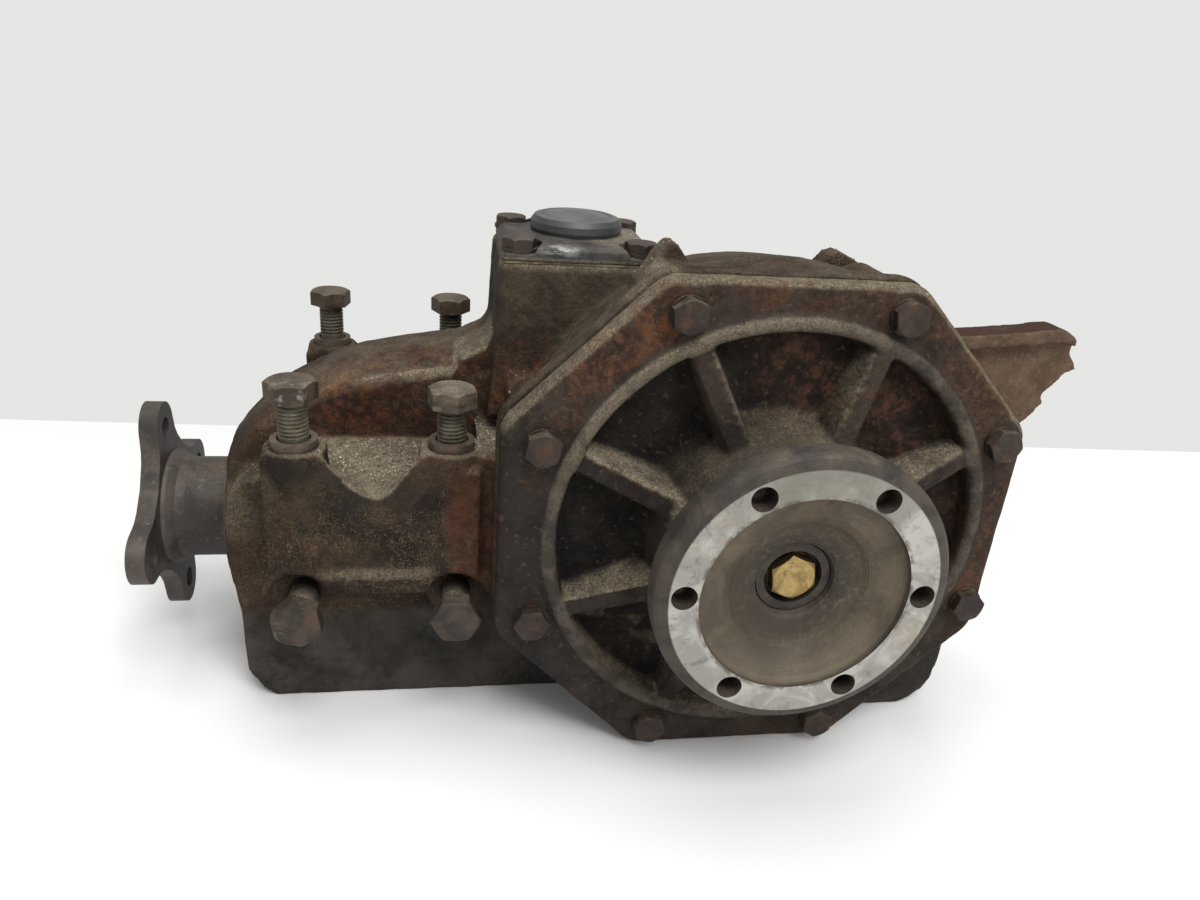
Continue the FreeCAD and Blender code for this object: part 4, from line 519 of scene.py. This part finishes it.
# ---------------------------------------------------------------------------
# turned flanges and clean metals
# ---------------------------------------------------------------------------
def drive_flange_steel():
    """Drive flanges: bright ring, dark rim, brown dished bowl inside the ring."""
    g = Surface("machined_steel")
    r = g.radius()
    # the ring: brushed silver with smudges, crud and a broken brown inner edge
    smudge = g.noise(60, detail=5, rough=0.65, warp=0.8, off=(4, 0, 2))
    g.colour = g.mix(g.ramp(smudge, 0.40, 0.62), (0.275, 0.266, 0.242), (0.425, 0.414, 0.380))
    smear = g.patches(95, 0.57, 0.66, detail=5, rough=0.7, warp=1.2, off=(1, 7, 3))
    g.paint((0.120, 0.112, 0.098), smear, 0.62)
    g.paint((0.170, 0.160, 0.132), g.spot((0.000, 0.0, 0.050), 0.014, 0.045),
            g.patches(40, 0.25, 0.5, detail=3, rough=0.6), 0.75)
    crud = g.most(g.mul(g.spot((0.052, 0.0, -0.018), 0.003, 0.017),
                        g.patches(330, 0.44, 0.56, rough=0.7)),
                  g.mul(g.spot((-0.040, 0.0, 0.030), 0.004, 0.018),
                        g.patches(300, 0.50, 0.60, rough=0.7), 0.8),
                  g.mul(g.spot((0.020, 0.0, 0.046), 0.004, 0.022),
                        g.patches(300, 0.56, 0.66, rough=0.7), 0.6))
    g.paint((0.300, 0.265, 0.195), crud)
    g.paint((0.105, 0.080, 0.056), g.ramp(r, 0.0432, 0.0416),
            g.patches(130, 0.44, 0.56, rough=0.7, off=(0, 3, 8)), 0.8)
    silver = g.colour
    # the bowl: brown-grey, with painted shade darkening it towards the middle, and fine and broad
    # turning marks
    fine_pitch, broad_pitch = 0.00085, 0.0033
    wobble = g.mul(g.noise(24, detail=3, rough=0.5), 0.0006)
    fine = g.math("SINE", g.mul(g.add(r, wobble), 2 * math.pi / fine_pitch))
    broad = g.math("SINE", g.mul(r, 2 * math.pi / broad_pitch))
    # painted shade: darker towards the middle of the dish
    g.colour = g.mix(g.ramp(r, 0.014, 0.036), (0.020, 0.015, 0.011), (0.108, 0.084, 0.056))
    g.paint((0.165, 0.132, 0.088), g.patches(420, 0.48, 0.66, rough=0.75), 0.45)
    g.paint((0.042, 0.031, 0.021), g.patches(32, 0.36, 0.66, rough=0.65, warp=0.6), 0.75)
    g.paint((0.165, 0.138, 0.100), g.ramp(g.pz, -0.010, -0.036), g.ramp(r, 0.026, 0.040), 0.42)
    g.paint((0.200, 0.175, 0.140), g.ramp(fine, 0.2, 1.0), 0.02)
    g.paint((0.030, 0.024, 0.019), g.ramp(broad, 0.5, 1.0), 0.05)
    bowl = g.colour
    # rim, back and neck: dark oxide with brown patches
    g.colour = g.mottle((0.020, 0.016, 0.013), (0.052, 0.040, 0.029), 65, 0.36, 0.64,
                        detail=5, rough=0.66, warp=0.5)
    g.paint((0.098, 0.068, 0.045), g.patches(150, 0.56, 0.68, rough=0.7), 0.4)
    oxide = g.colour
    # the faces start 0.1325 to 0.1352 either side of the unit's middle at y 0.1455
    back = g.ramp(g.abs(g.sub(g.py, 0.1455)), 0.1352, 0.1325)
    ring = g.mul(g.ramp(r, 0.0530, 0.0523), g.ramp(r, 0.0408, 0.0414),
                 g.ramp(g.abs(g.ny), 0.80, 0.93), g.inv(back))
    g.paint(bowl, g.ramp(r, 0.0412, 0.0406))
    g.paint(oxide, back)
    g.paint(silver, ring)
    clean = g.mul(ring, g.inv(g.most(g.mul(smear, 0.6), crud)))
    bowl_metal = g.mul(g.ramp(r, 0.0412, 0.0406), g.inv(back), 0.22)
    metal = g.capped_sum(g.mul(clean, 0.80), bowl_metal)
    rough = g.sub(g.add(0.62, g.mul(smudge, 0.15)), g.mul(clean, 0.26))
    _, rough = g.dust(rough, amount=g.mul(g.inv(clean), 0.38), low=0.35, high=0.95)
    height = g.add(g.mul(fine, 0.10, g.inv(ring)),
                   g.mul(g.noise(420, rough=0.65), 0.6, g.inv(g.mul(ring, 0.8))),
                   g.mul(crud, 0.6))
    return g.done(rough, metal=metal, spec=0.4,
                  normal=g.bump(height, distance=0.0005, strength=0.6))


def input_flange_steel():
    """Input flange: smooth dark grey-brown, light rust on the neck."""
    g = Surface("dark_steel_input")
    blotch = g.noise(48, detail=5, rough=0.62, warp=0.5)
    g.colour = g.mix(g.ramp(blotch, 0.36, 0.66), (0.034, 0.028, 0.025), (0.080, 0.065, 0.055))
    # darker on the neck behind the flange plate: painted shade, with grime
    g.paint(g.mix(g.ramp(blotch, 0.36, 0.66), (0.022, 0.018, 0.016), (0.048, 0.038, 0.032)),
            g.ramp(g.px, -0.259, -0.252), 0.8)
    g.paint((0.105, 0.060, 0.042), g.ramp(g.px, -0.246, -0.236),
            g.patches(40, 0.46, 0.64, rough=0.65, warp=0.6), 0.55)
    g.paint((0.18, 0.15, 0.12), g.patches(330, 0.60, 0.70, detail=3, rough=0.65), 0.35)
    dust, rough = g.dust(g.add(0.46, g.mul(blotch, 0.2)), amount=0.45, low=0.3, high=0.95)
    height = g.add(g.noise(300, rough=0.6), g.mul(dust, 0.4))
    return g.done(rough, metal=0.30, spec=0.4,
                  normal=g.bump(height, distance=0.0003, strength=0.6))


def plain_metal(name, dark, light, rough, metal, scale=90.0, depth=0.0002):
    """Clean internal parts with faint mottling and tool marks."""
    g = Surface(name)
    blotch = g.noise(scale, rough=0.6, warp=0.3)
    g.colour = g.mix(g.ramp(blotch, 0.35, 0.65), dark, light)
    height = g.add(g.noise(700, detail=3), g.mul(g.noise(60, detail=2), 0.5))
    return g.done(g.add(rough - 0.05, g.mul(blotch, 0.12)), metal=metal, spec=0.5,
                  normal=g.bump(height, distance=depth, strength=0.5))


MATERIALS = {
    "housing": housing_iron(),
    "cover": cover_iron(),
    "plate": tower_plate(),
    "gasket": gasket("gasket_paper", (0.052, 0.022, 0.016), (0.150, 0.058, 0.036),
                     scale=140, rough=0.88, spec=0.15),
    "rubber": black_rubber(),
    "dusty_gasket": gasket("gasket_dusty", (0.060, 0.040, 0.028), (0.190, 0.155, 0.110),
                           scale=160, rough=0.9, spec=0.12),
    "oily": oily_steel(),
    "nose_bolts": nose_bolt_steel(),
    "side_bolts": side_bolt_steel(),
    "cover_bolts": screw_steel("zinc_grey", (0.018, 0.012, 0.009), (0.046, 0.030, 0.021),
                               dusty=1.25, rust=0.35),
    "tower_bolts": screw_steel("tower_screws", (0.022, 0.017, 0.014), (0.050, 0.035, 0.026),
                               dusty=0.8, rust=0.35),
    "plugs": screw_steel("dark_steel", (0.034, 0.030, 0.027), (0.070, 0.058, 0.048),
                         dusty=0.6, rust=0.35),
    "sleeves": screw_steel("sleeve_steel", (0.060, 0.044, 0.034), (0.125, 0.092, 0.066),
                           dusty=0.8, rust=0.4),
    "flange": drive_flange_steel(),
    "gold": gold_zinc(),
    "input": input_flange_steel(),
}
# name: Blender name, dark colour, light colour, roughness, metal, then scale and depth
for key, *look in (
    ("bearing", "bearing_steel", (0.52, 0.52, 0.52), (0.66, 0.66, 0.66), 0.20, 1.0),
    ("cage", "pressed_steel", (0.40, 0.39, 0.37), (0.52, 0.51, 0.49), 0.38, 0.9),
    ("gear", "gear_steel", (0.26, 0.25, 0.24), (0.38, 0.37, 0.35), 0.34, 0.9),
    ("carrier", "cast_carrier", (0.13, 0.125, 0.12), (0.22, 0.21, 0.20), 0.55, 0.5, 60, 0.0005),
    ("steel", "turned_steel", (0.42, 0.42, 0.41), (0.56, 0.56, 0.55), 0.32, 0.9),
    ("bronze", "bronze", (0.40, 0.27, 0.12), (0.56, 0.40, 0.19), 0.38, 0.9),
    ("copper", "copper", (0.40, 0.19, 0.11), (0.56, 0.29, 0.17), 0.40, 0.9),
    ("seal", "seal", (0.030, 0.026, 0.024), (0.060, 0.052, 0.046), 0.65, 0.0, 120, 0.0003),
):
    MATERIALS[key] = plain_metal(*look)

PIECES = {
    "housing": "main_housing",
    "cover": "side_cover",
    "plate": "tower_cover",
    "gasket": "side_cover_gasket",
    "rubber": "tower_plug",
    "dusty_gasket": "tower_cover_gasket",
    "oily": "near_flange_washer far_flange_washer",
    "nose_bolts": "nose_mount_bolts",
    "side_bolts": "side_mount_bolts",
    "cover_bolts": "side_cover_bolts",
    "tower_bolts": "tower_cover_bolts",
    "plugs": "filler_plug drain_plug far_flange_bolt pinion_nut ring_gear_bolts",
    "sleeves": "nose_dowel_sleeves",
    "flange": "near_drive_flange far_drive_flange",
    "gold": "near_flange_bolt",
    "input": "input_flange",
    "carrier": "diff_carrier",
    "steel": "pinion_washer cross_pin cross_pin_lock_pin crush_sleeve carrier_shims "
             "pinion_depth_shim",
    "bronze": "side_gear_thrust_washers spider_thrust_washers",
    "copper": "plug_washers",
    "seal": "pinion_oil_seal near_output_seal far_output_seal",
}
MATERIAL_OF = {piece: key for key, pieces in PIECES.items() for piece in pieces.split()}


def material_for(piece):
    if piece in MATERIAL_OF:
        return MATERIALS[MATERIAL_OF[piece]]
    if "bearing_cage" in piece:
        return MATERIALS["cage"]
    return MATERIALS["bearing" if "bearing" in piece else "gear"]


def set_material(ob, material):
    ob.data.materials.clear()
    ob.data.materials.append(material)


def add_object(name, data):
    ob = bpy.data.objects.new(name, data)
    SCENE.collection.objects.link(ob)
    return ob


for piece, ob in NODES.items():
    set_material(ob, material_for(piece))


# ---------------------------------------------------------------------------
# the castings: rounded corners and an uneven sand-cast skin
# ---------------------------------------------------------------------------
def apply_modifiers(ob):
    depsgraph = bpy.context.evaluated_depsgraph_get()
    depsgraph.update()
    baked = bpy.data.meshes.new_from_object(ob.evaluated_get(depsgraph), depsgraph=depsgraph)
    ob.modifiers.clear()
    old = ob.data
    ob.data = baked
    bpy.data.meshes.remove(old)


def read_vectors(vertices, attribute):
    values = np.empty(len(vertices) * 3, np.float32)
    vertices.foreach_get(attribute, values)
    return values.reshape(-1, 3)


def casting(piece, name, voxel, lump, max_triangles):
    """Rebuild a piece on a voxel grid, relaxed, with lumps up to about lump high."""
    mesh = NODES[piece].data.copy()
    bm = bmesh.new()
    bm.from_mesh(mesh)
    bmesh.ops.remove_doubles(bm, verts=bm.verts, dist=1e-6)
    bm.to_mesh(mesh)
    bm.free()
    ob = add_object(name, mesh)
    grid = ob.modifiers.new("grid", "REMESH")
    grid.mode = "VOXEL"
    grid.voxel_size = voxel
    grid.adaptivity = 0.0
    relax = ob.modifiers.new("relax", "SMOOTH")
    relax.factor = 0.5
    relax.iterations = 4
    apply_modifiers(ob)

    vertices = ob.data.vertices
    places = read_vectors(vertices, "co")
    normals = read_vectors(vertices, "normal")
    # coarse and fine waves together
    waves = np.array([noise.noise(Vector(p) * 95.0) * 0.62 + noise.noise(Vector(p) * 260.0) * 0.38
                      for p in places], np.float32)
    places += normals * (waves * lump)[:, None]
    margin = 0.0002  # how far the skin may stand outside the piece's box
    low, high = (np.array(corner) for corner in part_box(piece))
    places = np.clip(places, low - margin, high + margin)
    vertices.foreach_set("co", places.astype(np.float32).ravel())
    ob.data.update()

    triangles = sum(len(face.vertices) - 2 for face in ob.data.polygons)
    if triangles > max_triangles:
        ob.modifiers.new("lean", "DECIMATE").ratio = max_triangles / triangles
        apply_modifiers(ob)
    for face in ob.data.polygons:
        face.use_smooth = True
    set_material(ob, material_for(piece))
    return ob


# piece, object name, slot, voxel size, lump height, most triangles
CASTINGS = (
    ("main_housing", "housing_casting", "cast_housing",
     0.00145, 0.00042, 190000),
    ("side_cover", "cover_casting", "cast_cover",
     0.00115, 0.00032, 150000),
    ("tower_cover", "tower_plate_casting", "tower_plate", 0.0007, 0.00022, 60000),
)
cast_objects = [casting(piece, name, *sizes) for piece, name, _, *sizes in CASTINGS]
for ob, (piece, _, slot, *_) in zip(cast_objects, CASTINGS):
    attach(ob, "case")
    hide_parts(piece)


# ---------------------------------------------------------------------------
# grit: crumbs of dried dirt lying in the hollows
# ---------------------------------------------------------------------------
# ellipse the crumbs fall from (centre x, y, z, half widths x, y), count,
# smallest and largest size, least upward slope they settle on
GRIT_REGIONS = (
    (-0.160, 0.098, 0.040, 0.026, 0.017, 1100, 0.00018, 0.00100, 0.55),
    (-0.119, 0.092, 0.045, 0.015, 0.020, 420, 0.00022, 0.00105, 0.45),
    (-0.208, 0.092, 0.045, 0.014, 0.020, 120, 0.00018, 0.00070, 0.3),
    (-0.105, 0.112, 0.080, 0.020, 0.016, 160, 0.00018, 0.00070, 0.3),
    (-0.048, 0.093, 0.118, 0.010, 0.010, 90, 0.00018, 0.00070, 0.3),
    (0.040, 0.115, 0.115, 0.022, 0.010, 60, 0.00018, 0.00060, 0.3),
)
OCTAHEDRON = ((1, 0, 0), (-1, 0, 0), (0, 1, 0), (0, -1, 0), (0, 0, 1), (0, 0, -1))
OCTAHEDRON_FACES = ((0, 2, 4), (2, 1, 4), (1, 3, 4), (3, 0, 4),
                    (2, 0, 5), (1, 2, 5), (3, 1, 5), (0, 3, 5))


def add_crumb(bm, rnd, point, normal, size):
    """A randomly turned, uneven octahedron, raised a little off the surface."""
    turn = Matrix.Rotation(rnd.uniform(0, 6.28), 3,
                           Vector((rnd.random(), rnd.random(), rnd.random() + 0.1)).normalized())
    corners = []
    for corner in OCTAHEDRON:
        arm = Vector(corner) * size * rnd.uniform(0.55, 1.15)
        corners.append(bm.verts.new(point + turn @ arm + normal * size * 0.25))
    for face in OCTAHEDRON_FACES:
        bm.faces.new([corners[i] for i in face])


def grit(name, ground, seed):
    rnd = random.Random(seed)
    bm = bmesh.new()
    for x, y, z, half_x, half_y, count, smallest, largest, least_slope in GRIT_REGIONS:
        made = tries = 0
        while made < count and tries < count * 30:
            tries += 1
            angle, reach = rnd.uniform(0, 2 * math.pi), math.sqrt(rnd.random())
            start = Vector((x + half_x * reach * math.cos(angle),
                            y + half_y * reach * math.sin(angle), z))
            point, normal, _, _ = ground.ray_cast(start, Vector((0, 0, -1)), 0.08)
            if point is None or normal.z < least_slope:
                continue
            size = smallest + (largest - smallest) * rnd.random() ** 3
            add_crumb(bm, rnd, point, normal, size)
            made += 1
    mesh = bpy.data.meshes.new(name)
    bmesh.ops.subdivide_edges(bm, edges=bm.edges[:], cuts=1, use_grid_fill=False)
    for v in bm.verts:
        v.co += Vector([noise.noise(v.co * 1500 + Vector((shift, shift, shift)))
                        for shift in (0, 9, 4)]) * 0.00012
    bm.to_mesh(mesh)
    bm.free()
    return add_object(name, mesh)


def dried_dirt():
    g = Surface("dried_dirt")
    g.colour = g.mottle((0.105, 0.082, 0.055), (0.330, 0.285, 0.215), 420, 0.38, 0.62,
                        detail=3, rough=0.7)
    g.paint((0.46, 0.44, 0.40),
            g.patches(360, 0.60, 0.66, detail=2, rough=0.6, off=(3, 8, 1)))
    g.paint((0.060, 0.046, 0.034), g.patches(700, 0.60, 0.68, detail=2, rough=0.6))
    return g.done(0.93, spec=0.1,
                  normal=g.bump(g.noise(2400, detail=2), distance=0.0002, strength=0.6))


housing_mesh = cast_objects[0].data
ground = BVHTree.FromPolygons([v.co for v in housing_mesh.vertices],
                              [tuple(face.vertices) for face in housing_mesh.polygons])
crumbs = grit("grit_crumbs", ground, seed=11)
set_material(crumbs, dried_dirt())
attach(crumbs, "case")

# ---------------------------------------------------------------------------
# floor
# ---------------------------------------------------------------------------
FLOOR_Z = min(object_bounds()[0][2], -0.109) - 0.0001
# x, y of the outline; the far edge, first, runs askew like the edge of a table
FLOOR_OUTLINE = ((-3.465, 0.568), (-0.465, 0.4253), (0.5389, 0.3774), (3.54, 0.234),
                 (3.54, -3.0), (-3.465, -3.0))


def floor_card():
    g = Surface("floor_card")
    g.colour = g.mottle((0.745, 0.745, 0.742), (0.772, 0.772, 0.768), 3, 0.3, 0.7,
                        detail=3, rough=0.5)
    return g.done(0.55, spec=0.2)


floor_mesh = bpy.data.meshes.new("floor")
floor_mesh.from_pydata([(x, y, FLOOR_Z) for x, y in FLOOR_OUTLINE], [], [(5, 4, 3, 2, 1, 0)])
floor = add_object("floor", floor_mesh)
set_material(floor, floor_card())

# ---------------------------------------------------------------------------
# world and lights
# ---------------------------------------------------------------------------
world = bpy.data.worlds.new("studio")
SCENE.world = world
world.use_nodes = True
nodes, links = world.node_tree.nodes, world.node_tree.links
background = nodes["Background"]
background.inputs[0].default_value = (0.789, 0.791, 0.777, 1)
# full strength to the camera, a little less for lighting the part
light_path = nodes.new("ShaderNodeLightPath")
strength = nodes.new("ShaderNodeMapRange")
strength.inputs["To Min"].default_value = 0.74
strength.inputs["To Max"].default_value = 1.0
links.new(light_path.outputs["Is Camera Ray"], strength.inputs["Value"])
links.new(strength.outputs["Result"], background.inputs[1])


def area_light(name, place, target, size, power):
    light = bpy.data.lights.new(name, "AREA")
    light.shape = "DISK"
    light.size = size
    light.energy = power
    ob = add_object(name, light)
    aim = (Vector(target) - Vector(place)).to_track_quat("-Z", "Y")
    ob.matrix_world = Matrix.Translation(place) @ aim.to_matrix().to_4x4()


area_light("key", (0.10, -0.80, 1.45), target=(0, 0.1, 0), size=0.8, power=20.0)
area_light("top", (-0.15, 0.30, 1.6), target=(0, 0.12, 0), size=1.1, power=13.0)
area_light("front", (0.9, -1.2, 0.8), target=(0, 0.0, -0.1), size=0.8, power=8.0)

# ---------------------------------------------------------------------------
# camera, on the near side, looking towards +Y and down
# ---------------------------------------------------------------------------
# turns about the view's X, Y and Z (right, down, ahead), and the world origin in that view
TURN_X, TURN_Y, TURN_Z = (math.radians(v) for v in (23.92712983, -10.84761643, 4.76492338))
ORIGIN_IN_VIEW = Vector((0.07685597262, 0.05506461111, 0.33375735287))

cx, sx = math.cos(TURN_X), math.sin(TURN_X)
cy, sy = math.cos(TURN_Y), math.sin(TURN_Y)
cz, sz = math.cos(TURN_Z), math.sin(TURN_Z)
about_x = Matrix(((1, 0, 0), (0, cx, -sx), (0, sx, cx)))
about_y = Matrix(((cy, 0, sy), (0, 1, 0), (-sy, 0, cy)))
about_z = Matrix(((cz, -sz, 0), (sz, cz, 0), (0, 0, 1)))
level_view = Matrix(((1, 0, 0), (0, 0, -1), (0, 1, 0)))
view = about_z @ about_x @ about_y @ level_view
eye = -(view.transposed() @ ORIGIN_IN_VIEW)

camera = bpy.data.cameras.new("camera")
camera.sensor_width = 36
camera.lens = 26.88525
camera.clip_start = 0.01
camera_object = add_object("camera", camera)
pose = Matrix.Identity(4)
for i in range(3):
    pose[i][0], pose[i][1], pose[i][2], pose[i][3] = view[0][i], -view[1][i], -view[2][i], eye[i]
camera_object.matrix_world = pose
SCENE.camera = camera_object
SCENE.view_settings.view_transform = "Standard"
SCENE.view_settings.look = "None"
